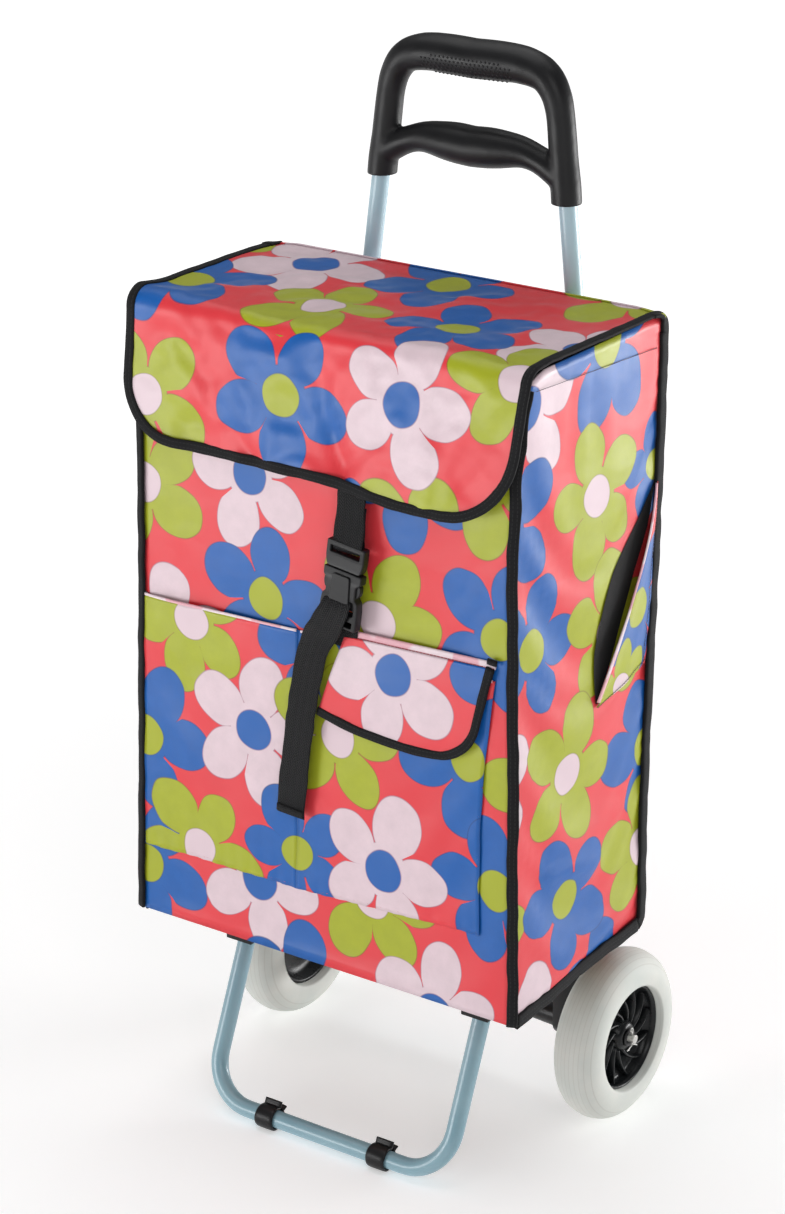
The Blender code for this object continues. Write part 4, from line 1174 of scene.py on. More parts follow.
def make_pocket_flap():
    """A small flap sewn along its top, with a bound lower edge and one rounded corner."""
    top_left, top_right = (0.0250, 0.3125), (0.1760, 0.3170)
    low_left, low_right = (-0.0010, 0.2375), (0.1570, 0.2270)
    width, length, radius = 0.158, 0.090, 0.036

    def place(a, b):
        """a across, b from the seam to the lower edge."""
        left = Vector(top_left).lerp(Vector(low_left), b)
        right = Vector(top_right).lerp(Vector(low_right), b)
        short = radius - length * (1 - b)
        if short > 0:
            right.x -= radius - math.sqrt(max(0.0, radius ** 2 - short ** 2))
        spot = left.lerp(right, a)
        return spot.x, spot.y - 0.0045 * math.sin(math.pi * a) * b

    def point(a, b):
        x, up = place(a, b)
        bulge = 0.0030 * ease(0.0, 0.6, b)
        bulge += (0.0016 * math.sin(math.pi * a) + 0.0014 * rough(x, up, 0, 26.0, 3.0)) * b
        return on_front(x, up, max(0.0034, front_surface(x, min(up, 0.300)) + 0.0018) + bulge)

    points, faces, places = grid(40, 64, point, place)
    faces = [face[::-1] for face in faces]
    flap = add_piece("pocket_flap_cloth", mesh_of("pocket_flap_cloth", points, faces, places),
                     [CLOTH_POCKET_FLAP, LINING], "pocket_flap", ("pocket_flap",), "floral_fabric")
    thicken(flap, 0.0008, back=1)
    path = even([point(k / 60, 1.0) for k in range(60)] + [point(1.0, 1 - k / 80) for k in range(81)],
                0.003)
    band("pocket_flap_edge_binding", path, [FRONT_OUT] * len(path), 0.0080, 0.0030, "pocket_flap", TAPE,
         ("pocket_flap_binding",), seed=12.0, inset=0.0028)
    # the hem above the fold is sewn down, and the binding ends on it in a small square
    depth = 0.0030 + 0.6 * front_bend(0.1, 0.315)
    seam = [on_front(0.0225 + 0.1545 * k / 50, 0.3150 + 0.0046 * k / 50, depth) for k in range(51)]
    strip = swept("pocket_flap_hem", seam,
                  [(FRONT_UP, FRONT_OUT, superellipse(0.0066, 0.0026, 3.0, 12))] * len(seam))
    add_piece("pocket_flap_hem", wall_places(strip), HEM, "trolley", slot="floral_fabric")
    low = [spot - FRONT_UP * 0.0022 + FRONT_OUT * 0.0012 for spot in seam]
    sew("pocket_flap_stitches", low, [FRONT_OUT] * len(low), "trolley", THREAD)
    ends = ((0.1757, 0.3212, 0.0046), (0.1759, 0.3235, 0.0046), (0.1762, 0.3258, 0.0042))
    end = smooth_path([on_front(*spot) for spot in ends], 0.002)
    band("pocket_flap_binding_end", end, [FRONT_OUT] * len(end), 0.0092, 0.0030, "trolley", TAPE, seed=13.0)


def wall_places(mesh, wall="front"):
    """Gives a piece on a wall that wall's own cloth coordinates."""
    layer = mesh.uv_layers["cloth"]
    for loop in mesh.loops:
        layer.data[loop.index].uv = wall_cloth_place(wall, mesh.vertices[loop.vertex_index].co)
    return mesh


def make_side_pocket():
    """The slanting pocket on the right side: its mouth hangs open over a near-black sheet of painted shade.
    """
    low, top = Vector((0.1290, 0.4336)), Vector((0.2205, 0.6070))
    base_front, base_back = Vector((0.1285, 0.4315)), Vector((0.2080, 0.4440))
    out = Vector((1, 0, 0))

    def place(a, b):
        """a from the front edge to the back, b from the bottom to the mouth."""
        spot = base_front.lerp(base_back, a).lerp(low.lerp(top, a), b)
        return spot.x, spot.y

    def point(a, b):
        y, z = place(a, b)
        gape = 0.0105 * math.sin(math.pi * (0.06 + a * 0.90)) ** 0.7 * ease(0.0, 1.0, b) * (0.75 + 0.5 * a)
        crease = 0.0010 * rough(y, z, 0, 30.0, 5.0) * math.sin(math.pi * a)
        return Vector((HALF + 0.0014 + side_bend(y, z) * (1 - 0.7 * b) + gape + crease, y, z))

    mesh = mesh_of("side_pocket_cloth", *grid(40, 40, point, place))
    pocket = add_piece("side_pocket_cloth", mesh, [CLOTH_SIDE_POCKET, HEM], "trolley", ("side_pocket",),
                       "floral_fabric")
    thicken(pocket, 0.0009, back=1)
    route = [point(0.01 + 0.98 * k / 60, 1.0) for k in range(61)]
    sections = []
    for number, (spot, along) in enumerate(zip(route, tangents(route))):
        wide = 0.0052 - 0.0026 * ease(0.2, 0.5, number / 60)
        sections.append((along.cross(out).normalized(), out, superellipse(wide, 0.0018, 2.4, 10)))
    mesh = swept("side_pocket_hem", [spot + Vector((-0.0006, -0.0012, 0.0008)) for spot in route], sections)
    add_piece("side_pocket_hem", wall_places(mesh, "right"), HEM, "trolley", slot="floral_fabric")
    base = [point(k / 24, 0.03) + out * 0.0004 for k in range(25)]
    back = [point(0.93, k / 16) + out * 0.0004 for k in range(17)]
    make_side_pocket_shade()
    for name, line in (("base", base), ("back", back)):
        sew(f"side_pocket_{name}_stitches", line, [out] * len(line), "trolley", DARK_THREAD)


def make_side_pocket_shade():
    """A near-black sheet of painted shade that shows in the pocket's mouth; it follows the side's own
    cloth.
    """
    front = ((0.1275, 0.4350), (0.1280, 0.4650), (0.1350, 0.5050), (0.1490, 0.5400), (0.1720, 0.5640),
             (0.1970, 0.5850), (0.2200, 0.6065))
    back = ((0.1300, 0.4345), (0.1560, 0.4700), (0.1760, 0.5050), (0.1930, 0.5400), (0.2060, 0.5650),
            (0.2150, 0.5900), (0.2210, 0.6070))
    front, back = (smooth_path([(0, y, z) for y, z in edge], 0.004) for edge in (front, back))

    def point(i, j):
        one, other = (edge[round(j * (len(edge) - 1))] for edge in (front, back))
        _, y, z = one.lerp(other, i)
        return Vector((HALF + side_bend(y, z) + 0.0007, y, z))

    mesh = mesh_of("side_pocket_shade_sheet", *grid(40, 12, point, lambda i, j: (i * 0.03, j * 0.17)))
    # painted shade: a near-black sheet where the open mouth lies in shadow
    add_piece("side_pocket_shade_sheet", mesh, DARK, "trolley", slot="floral_fabric")


def make_hem_lines():
    """The line of stitches that holds the side panels' top hem."""
    for name, side in SIDES:
        shares = [k / 50 for k in range(51)]
        line = [Vector((side * (HALF + 0.0012), 0.0400 + 0.182 * k, 0.7370 - 0.0128 * k)) for k in shares]
        sew(f"side_hem_stitches_{name}", line, [Vector((side, 0, 0))] * 51, "trolley", DARK_THREAD)


# ---------------------------------------------------------------- strap and buckle


# Each strap piece: its body and CAD node, its width, thickness, seed and wander, and its route as places
# across and up the front, with the depth in front of it.
STRAP = {"strap_upper_webbing": ("lid_flap", "strap_upper", (0.0290, 0.0016, 20.0, 0.0004),
                                 [(0.0335, 0.535, 0.0025), (0.0337, 0.500, 0.0032),
                                  (0.0340, 0.455, 0.0064), (0.0342, 0.425, 0.0086),
                                  (0.0343, 0.404, 0.0118), (0.0343, 0.3965, 0.0132),
                                  (0.0342, 0.3905, 0.0116)]),
         "strap_upper_turn": ("lid_flap", None, (0.0285, 0.0015, 21.0, 0.0003),
                              [(0.0343, 0.3900, 0.0090), (0.0343, 0.3960, 0.0076),
                               (0.0342, 0.404, 0.0080), (0.0341, 0.430, 0.0062)]),
         "strap_lower_webbing": ("trolley", "strap_lower", (0.0290, 0.0016, 22.0, 0.0003),
                                 [(0.0235, 0.3020, 0.0022), (0.0245, 0.3120, 0.0026),
                                  (0.0262, 0.3260, 0.0052), (0.0272, 0.3340, 0.0094),
                                  (0.0275, 0.3385, 0.0118)]),
         "strap_tail_webbing": ("trolley", "strap_tail", (0.0295, 0.0016, 23.0, 0.0004),
                                [(0.0275, 0.3500, 0.0128), (0.0262, 0.3450, 0.0164),
                                 (0.0225, 0.3360, 0.0172), (0.0115, 0.3190, 0.0142),
                                 (0.0015, 0.3050, 0.0112), (-0.0065, 0.2830, 0.0096),
                                 (-0.0140, 0.2450, 0.0092), (-0.0212, 0.1950, 0.0086),
                                 (-0.0268, 0.1500, 0.0076), (-0.0278, 0.1370, 0.0070)]),
         "strap_tail_fold": ("trolley", None, (0.0297, 0.0026, 24.0, 0.0),
                             [(-0.0272, 0.1445, 0.0084), (-0.0277, 0.1385, 0.0082)])}


def make_strap():
    """The webbing: from the lid to the buckle, from the bag to the buckle, and the loose tail."""
    for name, (body, node, (width, thickness, seed, wander), route) in STRAP.items():
        path = smooth_path([on_front(*spot) for spot in route], 0.003)
        band(name, path, strap_normals(path), width, thickness, body, WEBBING, (node,) if node else (),
             seed=seed, wander=wander)


def strap_normals(path):
    """Normals out of a strap that lies flat across the front."""
    out = Vector((0, -math.cos(LEAN), math.sin(LEAN)))
    result = []
    for along in tangents(path):
        sideways = (Vector((1, 0, 0)) - along * along.x).normalized()
        normal = sideways.cross(along).normalized()
        result.append(-normal if normal.dot(out) < 0 else normal)
    return result


BUCKLE = on_front(0.0297, 0.3650, 0.01025)
TILT = math.radians(7.5)


def buckle_frame():
    """The buckle's axes: across, outwards and up."""
    across = Vector((math.cos(TILT), 0, -math.sin(TILT)))
    up = Vector((math.sin(TILT), 0, math.cos(TILT)))
    lean = Matrix.Rotation(-LEAN, 3, "X")
    return lean @ across, lean @ Vector((0, -1, 0)), lean @ up


def plate_piece(name, outline, holes, low, high, body, replaced=(), bevel=0.0008, crown=0.0):
    """A moulded plate in the buckle's plane, with holes, rounded edges and a crowned face."""
    curve = bpy.data.curves.new(name, "CURVE")
    curve.dimensions, curve.fill_mode = "2D", "BOTH"
    curve.bevel_depth, curve.bevel_resolution, curve.offset = bevel, 2, -bevel
    curve.extrude = max(0.0001, (high - low) / 2 - bevel)
    for ring in (outline, *holes):
        spline = curve.splines.new("POLY")
        spline.points.add(len(ring) - 1)
        spline.use_cyclic_u = True
        for point, (a, b) in zip(spline.points, ring):
            point.co = (a, b, 0.0, 1.0)
    mesh = as_evaluated(add_object(name, curve))
    across, out, up = buckle_frame()
    for vertex in mesh.vertices:
        a, b, c = vertex.co
        rise = crown * (1 - (a / 0.0195) ** 2) if c > 0 else 0.0
        vertex.co = BUCKLE + across * a + up * b + out * (c + (high + low) / 2 + rise)
    face_outwards(mesh, merge=True)
    add_piece(name, mesh, PLASTIC, body, replaced, "black_plastic", smooth=False)


def mirrored(sides, radius):
    """A closed outline from the places down its right side."""
    return rounded_ring([(-x, y) for x, y in sides] + list(reversed(sides)), radius)


def slot_ring(low, high):
    """A slot that the webbing is threaded through."""
    half = 0.0150
    return rounded_ring([(-half, low), (half, low), (half, high), (-half, high)], 0.0010)


def rounded_ring(corners, radius, steps=4):
    """A closed outline with its corners rounded."""
    ring, count = [], len(corners)
    for k, corner in enumerate(corners):
        here = Vector(corner)
        before, after = Vector(corners[k - 1]) - here, Vector(corners[(k + 1) % count]) - here
        size = min(radius, before.length * 0.45, after.length * 0.45)
        one, two = here + before.normalized() * size, here + after.normalized() * size
        for step in range(steps + 1):
            t = step / steps
            ring.append(tuple((1 - t) ** 2 * one + 2 * t * (1 - t) * here + t * t * two))
    return ring


def make_buckle():
    """A side-release buckle: the socket on the bag, the plug on the lid's strap, and its two prongs."""
    half = 0.0193
    # socket: waisted sides with a window for each prong, and two slots for the webbing at its lower end
    sides = [(half, 0.0095), (half, 0.0015), (0.0152, -0.0010), (0.0152, -0.0125), (half - 0.0010, -0.0150),
             (half, -0.0230), (half, -0.0410)]
    slots = [slot_ring(low, low + 0.0050) for low in (-0.0385, -0.0275)]
    plate_piece("buckle_socket_body", mirrored(sides, 0.0018), slots, -0.0044, 0.0042, "trolley",
                ("buckle_socket",), 0.0010, 0.0010)
    panel = rounded_ring([(-0.0105, -0.0180), (0.0105, -0.0180), (0.0085, 0.0060), (-0.0085, 0.0060)],
                         0.0020)
    plate_piece("buckle_socket_panel", panel, [], 0.0040, 0.0058, "trolley", bevel=0.0007, crown=0.0004)
    # plug: a bar for the webbing, and shoulders that meet the socket
    sides = [(half, 0.0335), (half, 0.0190), (half - 0.0014, 0.0125), (half - 0.0030, 0.0102)]
    plate_piece("buckle_plug_body", mirrored(sides, 0.0020), [slot_ring(0.0232, 0.0288)], -0.0042, 0.0040,
                "lid_flap", ("buckle_plug",), 0.0010, 0.0010)
    arm = [(0.0118, 0.0102), (0.0152, 0.0102), (0.0153, 0.0015), (0.0186, -0.0004), (0.0190, -0.0050),
           (0.0178, -0.0095), (0.0140, -0.0120), (0.0118, -0.0110)]
    for name, side in SIDES:
        ring = rounded_ring([(side * x, y) for x, y in arm], 0.0014)
        plate_piece(f"buckle_prong_{name}_arm", ring, [], -0.0026, 0.0026, f"prong_{name}",
                    (f"buckle_prong_{name}",), 0.0007)


# ---------------------------------------------------------------- handle, tubes, wheels and fittings


SLEEVE_FOOT = 0.8270
FRAME_LEAN = 0.0508
# The handle's loop and its cross bar: places across and up, on one side; and the loop's radii.
LOOP = [(0.0962, 0.8240), (0.0950, 0.8380), (0.0915, 0.8680), (0.0872, 0.9020), (0.0812, 0.9200),
        (0.0700, 0.9325), (0.0500, 0.9382), (0.0250, 0.9388), (0.0, 0.9380)]
LOOP_RADII = [0.0134, 0.0134, 0.0126, 0.0124, 0.0132, 0.0146, 0.0164, 0.0172, 0.0173]
CROSS_BAR = [(0.0940, 0.8460), (0.0860, 0.8510), (0.0700, 0.8590), (0.0500, 0.8642), (0.0250, 0.8638),
             (0.0, 0.8624)]


def frame_y(height):
    """Where the leaning uprights' plane stands at a height."""
    return 0.2430 + FRAME_LEAN * (height - 0.752)


def grip_point(x, height, forward=0.0):
    return Vector((x, frame_y(height), height)) + Vector((0, -1, FRAME_LEAN)).normalized() * forward


def both_halves(path):
    """A path up to the middle, and its mirror image down again."""
    return path + [Vector((-point.x, point.y, point.z)) for point in path[-2::-1]]


def loop_radii(path):
    """The handle's thickness along its loop, evened out between the places where it is known."""
    radii = []
    for spot in path:
        near = min(range(len(LOOP)), key=lambda k: abs(LOOP[k][0] - spot.x) + abs(LOOP[k][1] - spot.z))
        radii.append(LOOP_RADII[near])
    windows = [radii[max(0, k - 3):k + 4] for k in range(len(radii))]
    return [sum(window) / len(window) for window in windows]


def cross_bar_radius(x):
    return 0.0118 + 0.0060 * (1 - ease(0.012, 0.072, x)) + 0.0010 * ease(0.06, 0.09, x)


def make_grip():
    """The handle: a loop, a thick waved cross bar and two sleeves, melted into one moulding."""
    loop = smooth_path([grip_point(x, z) for x, z in LOOP], 0.003)
    bar = smooth_path([grip_point(x, z) for x, z in CROSS_BAR], 0.003)
    shape = bmesh.new()
    for path, radii in ((loop, loop_radii(loop)), (bar, [cross_bar_radius(point.x) for point in bar])):
        piece = pipe("grip_part", both_halves(path), radii + radii[-2::-1], None, GRIP, sides=28)
        shape.from_mesh(piece.data)
        bpy.data.objects.remove(piece, do_unlink=True)
    mesh = bpy.data.meshes.new("grip_parts")
    shape.to_mesh(mesh)
    shape.free()
    item = add_object("handle_parts", mesh)
    remesh = item.modifiers.new("melt", "REMESH")
    remesh.mode, remesh.voxel_size = "VOXEL", 0.0016
    soften = item.modifiers.new("soften", "SMOOTH")
    soften.factor, soften.iterations = 0.6, 9
    made = as_evaluated(item)
    made.name = "handle_moulding"
    made.transform(Matrix.Translation((0, Y_MIDDLE, 0)))
    # the sleeves' lower ends are flat
    for vertex in made.vertices:
        vertex.co.z = max(vertex.co.z, SLEEVE_FOOT)
    add_piece("handle_moulding", made, GRIP, "trolley", ("handle_grip",), "black_plastic")
    make_grip_dots(made)


def make_grip_dots(mesh):
    """Rows of raised dots on the front of the top bar, in an oval field."""
    corners = [tuple(face.vertices) for face in mesh.polygons]
    surface = BVHTree.FromPolygons([vertex.co for vertex in mesh.vertices], corners)
    points, faces = [], []
    for row in range(6):
        count = 22 - (row % 2) - (4 if row in (0, 5) else 0)
        for column in range(count):
            x = (column - (count - 1) / 2) * 0.0043
            aim = world(grip_point(x, 0.9232 + 0.0032 * row, 0.04))
            spot, normal, _, _ = surface.ray_cast(aim, Vector((0, 1, -0.05)))
            if spot is not None:
                add_dot(points, faces, spot + Vector((0, Y_MIDDLE, 0)), normal)
    add_piece("handle_dots", mesh_of("handle_dots", points, faces), GRIP, "trolley", slot="black_plastic")


def add_dot(points, faces, spot, normal):
    sides = 8
    one = normal.orthogonal().normalized()
    two = normal.cross(one)
    base = len(points)
    for height, size in ((-0.0002, 0.00115), (0.00045, 0.0009), (0.0007, 0.0004)):
        for k in range(sides):
            turn = 2 * math.pi * k / sides
            points.append(spot + normal * height + one * (size * math.cos(turn))
                          + two * (size * math.sin(turn)))
    for start in (base, base + sides):
        for k in range(sides):
            other = (k + 1) % sides
            faces.append((start + k, start + other, start + sides + other, start + sides + k))
    faces.append(tuple(base + 2 * sides + k for k in range(sides)))


UPRIGHT_BEND = 0.46
RAIL_X, RAIL_Z, RAIL_RADIUS = 0.131, 0.1715, 0.007
STAND_HALF, STAND_CORNER = 0.130, 0.043
STAND_PIVOT, STAND_BAR = Vector((0, 0.0708, 0.168)), Vector((0, -0.0010, 0.0108))


def upright_point(side, height, inwards=0.0):
    """The uprights run parallel up to their bend, and draw together above it."""
    across = 0.1060 + 0.118 * (0.752 - max(height, UPRIGHT_BEND)) - inwards
    return Vector((side * across, frame_y(height), height))


def make_tubes():
    """The uprights, the rails under the bag, the tube round the axle, and the stand."""
    heights = [(0.866, 0.0), (0.80, 0.0), (0.70, 0.0), (0.60, 0.0), (0.52, 0.0), (0.485, 0.0),
               (0.47, 0.0006), (0.46, 0.0012), (0.45, 0.0006), (0.43, 0.0), (0.36, 0.0), (0.27, 0.0),
               (0.19, 0.0), (0.137, 0.0)]
    for name, side in SIDES:
        path = smooth_path([upright_point(side, *height) for height in heights], 0.006)
        # the uprights take the lighter copy of the coat, painted light; the rails and the cross tube below
        # take the darker coat, painted shade
        pipe(f"upright_tube_{name}", path, TUBE_RADIUS, "trolley", LIT_PAINT, (f"upright_{name}",),
             "pale_blue_paint")
        ends = [Vector((side * RAIL_X, y, RAIL_Z)) for y in (0.0985, 0.1985)]
        pipe(f"base_rail_tube_{name}", even(ends, 0.006), RAIL_RADIUS, "trolley", SHADED_PAINT,
             (f"base_rail_{name}",), "pale_blue_paint")
    ends = [Vector((x, AXLE_Y, AXLE_Z)) for x in (-0.1262, 0.1262)]
    pipe("cross_tube", even(ends, 0.006), TUBE_RADIUS, "trolley", SHADED_PAINT, ("axle_tube",), "pale_blue_paint")
    make_stand()


def make_stand():
    """A U of tube: two legs, two round corners and the bar that stands on the ground."""
    down = (STAND_BAR - STAND_PIVOT).normalized()
    leg = (STAND_BAR - STAND_PIVOT).length - STAND_CORNER
    top = STAND_PIVOT + Vector((-STAND_HALF, 0, 0))
    path = even([top - down * 0.0035, top + down * 0.05, top + down * leg], 0.006)
    for step in range(1, 13):
        turn = math.pi / 2 * step / 12
        inwards = Vector((STAND_CORNER * (1 - math.cos(turn)), 0, 0))
        path.append(top + down * (leg + STAND_CORNER * math.sin(turn)) + inwards)
    path += [Vector((x, STAND_BAR.y, STAND_BAR.z)) for x in (-0.05, 0.0)]
    pipe("stand_tube", even(both_halves(path), 0.0035), TUBE_RADIUS, "stand", SHADED_PAINT, ("stand_loop",),
         "pale_blue_paint")


WHEEL_X = 0.179
# The hub's section, as radius and distance outwards.
HUB_SECTION = [(0.0484, 0.0150), (0.0484, -0.0145), (0.0450, -0.0145), (0.0440, -0.0040), (0.0300, -0.0035),
               (0.0115, -0.0035), (0.0105, -0.0258), (0.0042, -0.0258), (0.0042, 0.0150), (0.0085, 0.0152),
               (0.0118, 0.0142), (0.0138, 0.0112), (0.0150, 0.0060), (0.0300, 0.0040), (0.0410, 0.0050),
               (0.0438, 0.0062), (0.0452, 0.0110), (0.0462, 0.0148), (0.0474, 0.0154)]


def tyre_section():
    """A round tyre with a slightly flattened, faintly grooved tread, open at the rim."""
    steps, lip, thick = 44, math.radians(109), 0.0233
    section = []
    for k in range(steps + 1):
        turn = lip - 2 * lip * k / steps
        groove = 0.00025 * math.cos(turn * 9) if abs(turn) < 1.0 else 0.0
        tread = min(thick, thick - 0.0009 * math.exp(-(turn / 0.35) ** 2) + groove)
        section.append((0.0567 + tread * math.cos(turn), 0.0229 * math.sin(turn)))
    return section


def make_wheels():
    """Each wheel: a solid tyre on a moulded hub, which is turned in one piece with its boss."""
    for name, side in SIDES:
        centre = (side * WHEEL_X, AXLE_Y, AXLE_Z)
        turned(f"tyre_ring_{name}", tyre_section(), 96, centre, f"wheel_{name}", TYRE,
               (f"tyre_{name}",), "grey_tyre", side)
        turned(f"wheel_hub_disc_{name}", HUB_SECTION, 96, centre, f"wheel_{name}", HUB,
               (f"wheel_hub_{name}",), "black_plastic", side)
        make_ribs(name, side, centre)


def make_ribs(name, side, centre):
    """Twelve swept ribs, like a turbine's, from the boss to the rim."""
    blades, steps, foot = 12, 12, 0.0036
    points, faces = [], []
    for blade in range(blades):
        base = len(points)
        for k in range(steps + 1):
            t = k / steps
            radius = 0.0140 + 0.0310 * t
            turn = 2 * math.pi * blade / blades + side * (0.95 * t - 0.25 * t * t)
            top = 0.0104 + 0.0014 * math.sin(math.pi * t) + 0.0002 * t
            half = (0.0011 + 0.0005 * (1 - t)) / radius
            section = ((foot, -1.6), (top - 0.0006, -1.0), (top, -0.4), (top, 0.4), (top - 0.0006, 1.0),
                       (foot, 1.6))
            for out, share in section:
                angle = turn + share * half
                arm = Vector((side * out, radius * math.cos(angle), radius * math.sin(angle)))
                points.append(Vector(centre) + arm)
        for k in range(steps):
            starts = [base + k * 6 + i for i in range(5)]
            faces += [(start, start + 1, start + 7, start + 6) for start in starts]
        faces.append(tuple(base + i for i in range(6)))
        faces.append(tuple(base + steps * 6 + i for i in range(6))[::-1])
    mesh = face_outwards(mesh_of(f"wheel_ribs_{name}", points, faces))
    add_piece(f"wheel_ribs_{name}", mesh, HUB, f"wheel_{name}", slot="black_plastic")


def make_pins():
    """A split pin through each end of the axle: two legs, bent apart below and joined in an eye above."""
    for name, side in SIDES:
        for leg, spread, tip in (("a", 1, (0.0081, -0.0105)), ("b", -1, (-0.0085, -0.0092))):
            bends = [tip, (spread * 0.0046, -0.0082), (spread * 0.0006, -0.0056), (spread * 0.00045, 0.0),
                     (spread * 0.0005, 0.0058), (spread * 0.0018 - 0.001, 0.0088), (-0.001, 0.0112)]
            path = smooth_path([(side * 0.1985, AXLE_Y + y, AXLE_Z + z) for y, z in bends], 0.0008)
            node = (f"split_pin_{name}",) if leg == "a" else ()
            pipe(f"split_pin_{name}_{leg}", path, 0.00075, "trolley", STEEL, node, "steel", sides=10)
        # the washer takes the near-black steel: painted shade in the hub
        refine(f"axle_washer_{name}", SHADED_STEEL, 0.0003)
        refine(f"bracket_screw_{name}", STEEL, 0.0003)
        refine(f"stand_pin_{name}", STEEL, 0.0003)
    refine("axle_rod", STEEL, 0.0003)


def refine(node, material, width=0.0009):
    """A carried-over CAD piece, with its edges eased and its own finish."""
    item = frame["nodes"][node]
    item.data.materials.clear()
    item.data.materials.append(material)
    weld = item.modifiers.new("weld", "WELD")
    weld.merge_threshold = 0.00002
    bevel = item.modifiers.new("ease", "BEVEL")
    bevel.width, bevel.segments, bevel.limit_method = width, 3, "ANGLE"
    bevel.angle_limit = math.radians(32)
    bevel.harden_normals = True
    bevel.use_clamp_overlap = True
    item.data.shade_smooth()


def make_fittings():
    """The brackets, collars and board from the CAD, the stand's clips and the bag's loops."""
    for name, _ in SIDES:
        refine(f"axle_bracket_{name}", PLASTIC)
        refine(f"stand_collar_{name}", PLASTIC)
        make_clip(name)
    refine("base_board", BOARD, 0.0006)
    for level, height in (("lower", 0.262), ("upper", 0.690)):
        for name, side in SIDES:
            make_bag_loop(f"{level}_{name}", side, height)


def make_clip(side):
    """An open ring round the stand's bar, whose ends stand up as two small tabs."""
    low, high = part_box(f"stand_clip_{side}")
    middle = Vector(((low[0] + high[0]) / 2, STAND_BAR.y, STAND_BAR.z))
    first, sweep, radius = math.radians(62), math.radians(325), 0.0099

    def spot(turn, reach):
        return middle + Vector((0, math.cos(turn), math.sin(turn))) * reach

    path = [spot(first, radius + reach) for reach in (0.0062, 0.0035)]
    path += [spot(first + sweep * k / 48, radius) for k in range(49)]
    path += [spot(first + sweep, radius + reach) for reach in (0.0030, 0.0055)]
    path = even(path, 0.0012)
    out = [Vector((1, 0, 0)).cross(along).normalized() for along in tangents(path)]
    # pressed flat where it stands on the ground
    path = [Vector((point.x, point.y, max(point.z, 0.0020))) for point in path]
    band(f"stand_clip_{side}_ring", path, out, 0.0190, 0.0030, "stand", PLASTIC, (f"stand_clip_{side}",),
         "black_plastic", seed=3.0, wander=0.0)


def make_bag_loop(name, side, height):
    """A loop of webbing round an upright, its two ends sewn to the bag's back."""
    middle = upright_point(side, height)
    wall = DEPTH + math.tan(BACK_LEAN) * (height - BOTTOM) + 0.0012
    start, sweep, reach = math.radians(232), math.radians(284), 0.0092
    path = [(middle.x - 0.026, wall, height), (middle.x - 0.015, wall + 0.0006, height)]
    for k in range(17):
        turn = start - sweep * k / 16
        path.append((middle.x + reach * math.cos(turn), middle.y + reach * math.sin(turn), height))
    path += [(middle.x + 0.015, wall + 0.0006, height), (middle.x + 0.026, wall, height)]
    path = smooth_path(path, 0.002)
    normals = [-Vector((0, 0, 1)).cross(along).normalized() for along in tangents(path)]
    band(f"bag_loop_{name}_webbing", path, normals, 0.0270, 0.0014, "trolley", WEBBING,
         (f"bag_loop_{name}",), seed=30.0 + side)


# ---------------------------------------------------------------- small cloth materials, stage and camera


def thread(name, colour):
    """Sewing thread with a fine twist."""
    material, n, surface = new_material(name, colour, 0.6, Sheen_Weight=0.1)
    place = n.object_place()
    twist = n.noise(place, 2400.0, 2.0)
    n.put(n.mix(twist, tuple(0.75 * c for c in colour), colour), surface["Base Color"])
    n.put(n.bump(twist, 0.4, 0.0001), surface["Normal"])
    return material


def hem_cloth():
    """A rolled hem: coral with near-white patches, which stand partly for the cloth's white back where it
    rolls over and partly for a painted highlight along the fold.
    """
    material, n, surface = new_material("hem_cloth", (0.80, 0.30, 0.34), 0.5, Sheen_Weight=0.15)
    place = n.cloth_place()
    patches = n.noise(place, 22.0, 1.0)
    # the near-white patches: partly the cloth's white back, partly a painted highlight on the fold
    colour = n.mix(n.step(patches, 0.50, 0.53), (0.76, 0.40, 0.46), (0.80, 0.66, 0.70))
    n.put(colour, surface["Base Color"])
    n.put(weave_bump(n, place), surface["Normal"])
    return material


def painted_shade_cloth():
    """A near-black sheet, painted as the shade in the side pocket's open mouth."""
    material, n, surface = new_material("side_pocket_painted_shade", (0.006, 0.005, 0.006), 0.9)
    place = n.cloth_place()
    # near-black with a fine mottle: painted shade, not the cloth's own colour
    n.put(n.mix(n.noise(place, 300.0, 3.0), (0.003, 0.003, 0.003), (0.010, 0.009, 0.010)),
          surface["Base Color"])
    n.put(weave_bump(n, place), surface["Normal"])
    return material


THREAD, DARK_THREAD = thread("coral_thread", (0.62, 0.10, 0.13)), thread("dark_thread", (0.05, 0.02, 0.03))
HEM, DARK = hem_cloth(), painted_shade_cloth()


STUDIO_TURN = math.radians(36.14)
# Each lamp: its name, place, width and height, and power in watts.
LAMPS = [
    ("front_left", (-1.55, -2.30, 0.45), (1.3, 0.7), 25.0),
    ("front_right", (1.6, -1.7, 1.9), (0.9, 1.2), 10.0),
    ("right_rear", (1.9, 2.3, 0.40), (1.6, 0.75), 52.0),
    ("over", (-0.4, 0.3, 2.9), (2.4, 2.4), 31.0),
]


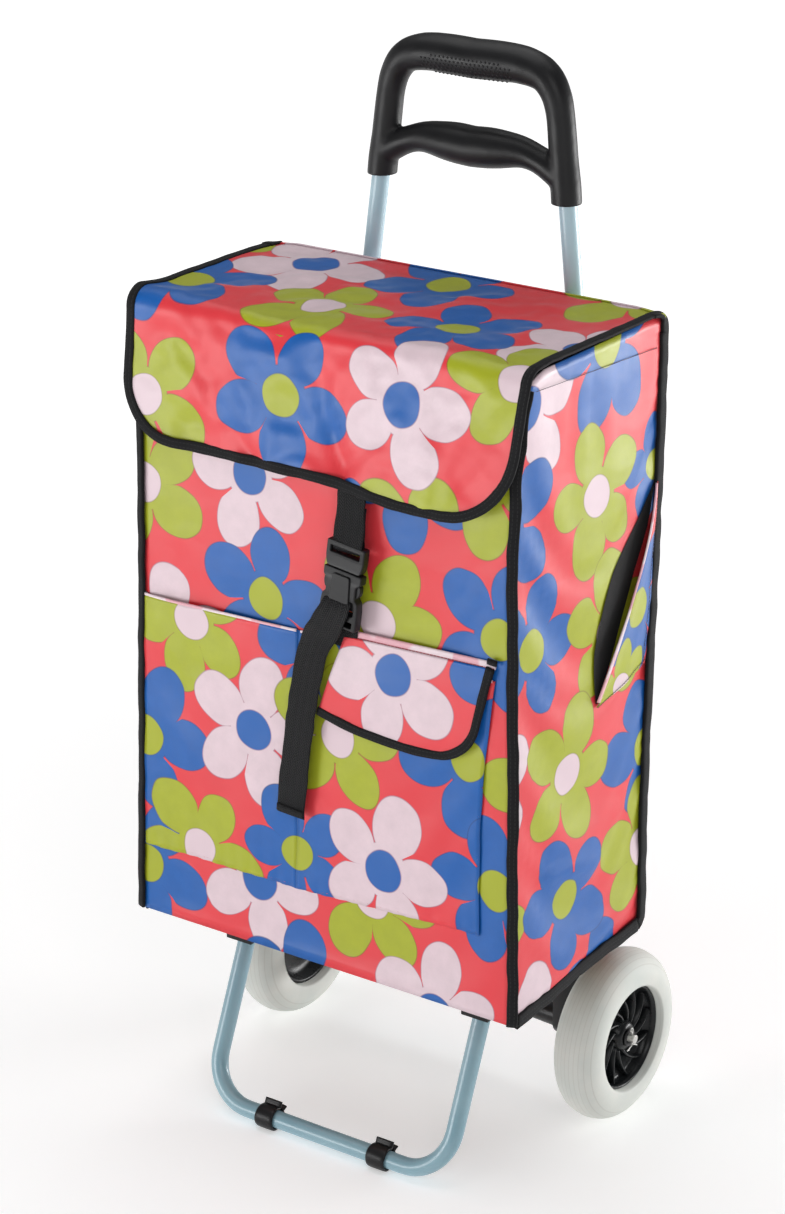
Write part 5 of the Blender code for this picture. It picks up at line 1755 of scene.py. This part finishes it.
def make_floor():
    """A wide pale floor that gets brighter with distance, so that it meets the backdrop without a line."""
    material, n, surface = new_material("studio_floor", (0.88, 0.88, 0.88), 0.8,
                                        Emission_Color=(1.0, 1.0, 1.0, 1.0))
    place = n.object_place()
    n.put(n.mix(n.noise(place, 1.5, 2.0), (0.85, 0.85, 0.85), (0.88, 0.88, 0.88)), surface["Base Color"])
    n.put(n.step(n.vector("LENGTH", place), 0.45, 2.6, 0.40, 0.86), surface["Emission Strength"])
    turn = Matrix.Rotation(STUDIO_TURN, 4, "Z")
    points = [turn @ Vector((x, y, 0)) for y in (-40, 40) for x in (-40, 40)]
    mesh = mesh_of("floor", points, [(0, 1, 3, 2)])
    mesh.materials.append(material)
    floor = add_object("floor", mesh)
    floor.location.z = -0.0003


def make_backdrop():
    sky = bpy.data.worlds.new("studio")
    bpy.context.scene.world = sky
    sky.use_nodes = True
    n = Nodes(sky.node_tree)
    height = n.parts(n.add("TexCoord").outputs["Generated"])[2]
    colour, strength = sky.node_tree.nodes["Background"].inputs[:2]
    colour.default_value = (1.0, 1.0, 1.0, 1.0)
    horizon = n.step(height, 0.02, 0.10, 0.95, 0.16)
    n.put(n.math("MAXIMUM", horizon, n.step(height, 0.1, 0.9, 0.16, 0.26)), strength)


def make_lamps():
    for name, place, (wide, tall), power in LAMPS:
        lamp = bpy.data.lights.new(name, "AREA")
        lamp.shape, lamp.size, lamp.size_y, lamp.energy = "RECTANGLE", wide, tall, power
        item = add_object(name, lamp)
        item.location = place
        item.rotation_euler = (Vector((0, 0, 0.5)) - Vector(place)).to_track_quat("-Z", "Y").to_euler()


def make_camera():
    """A long lens from the front right and above, with a slight roll."""
    data = bpy.data.cameras.new("camera")
    data.lens, data.sensor_width, data.sensor_fit = 101.29, 36.0, "AUTO"
    data.clip_start, data.clip_end = 0.05, 50.0
    camera = add_object("camera", data)
    camera.location = world((1.6218, -2.1031, 1.5972))
    elevation, roll = math.radians(22.08), math.radians(-1.136)
    level = Vector((-math.sin(STUDIO_TURN), math.cos(STUDIO_TURN), 0)) * math.cos(elevation)
    aim = (level - Vector((0, 0, math.sin(elevation)))).to_track_quat("-Z", "Y")
    camera.rotation_mode = "QUATERNION"
    camera.rotation_quaternion = aim @ Matrix.Rotation(roll, 3, "Z").to_quaternion()
    bpy.context.scene.camera = camera


make_bag()
make_bindings()
make_lid()
make_front_pockets()
make_pocket_flap()
make_side_pocket()
make_hem_lines()
make_strap()
make_buckle()
make_grip()
make_tubes()
make_wheels()
make_pins()
make_fittings()
make_floor()
make_backdrop()
make_lamps()
make_camera()
bpy.context.scene.view_settings.view_transform = "Standard"
bpy.context.scene.view_settings.look = "None"
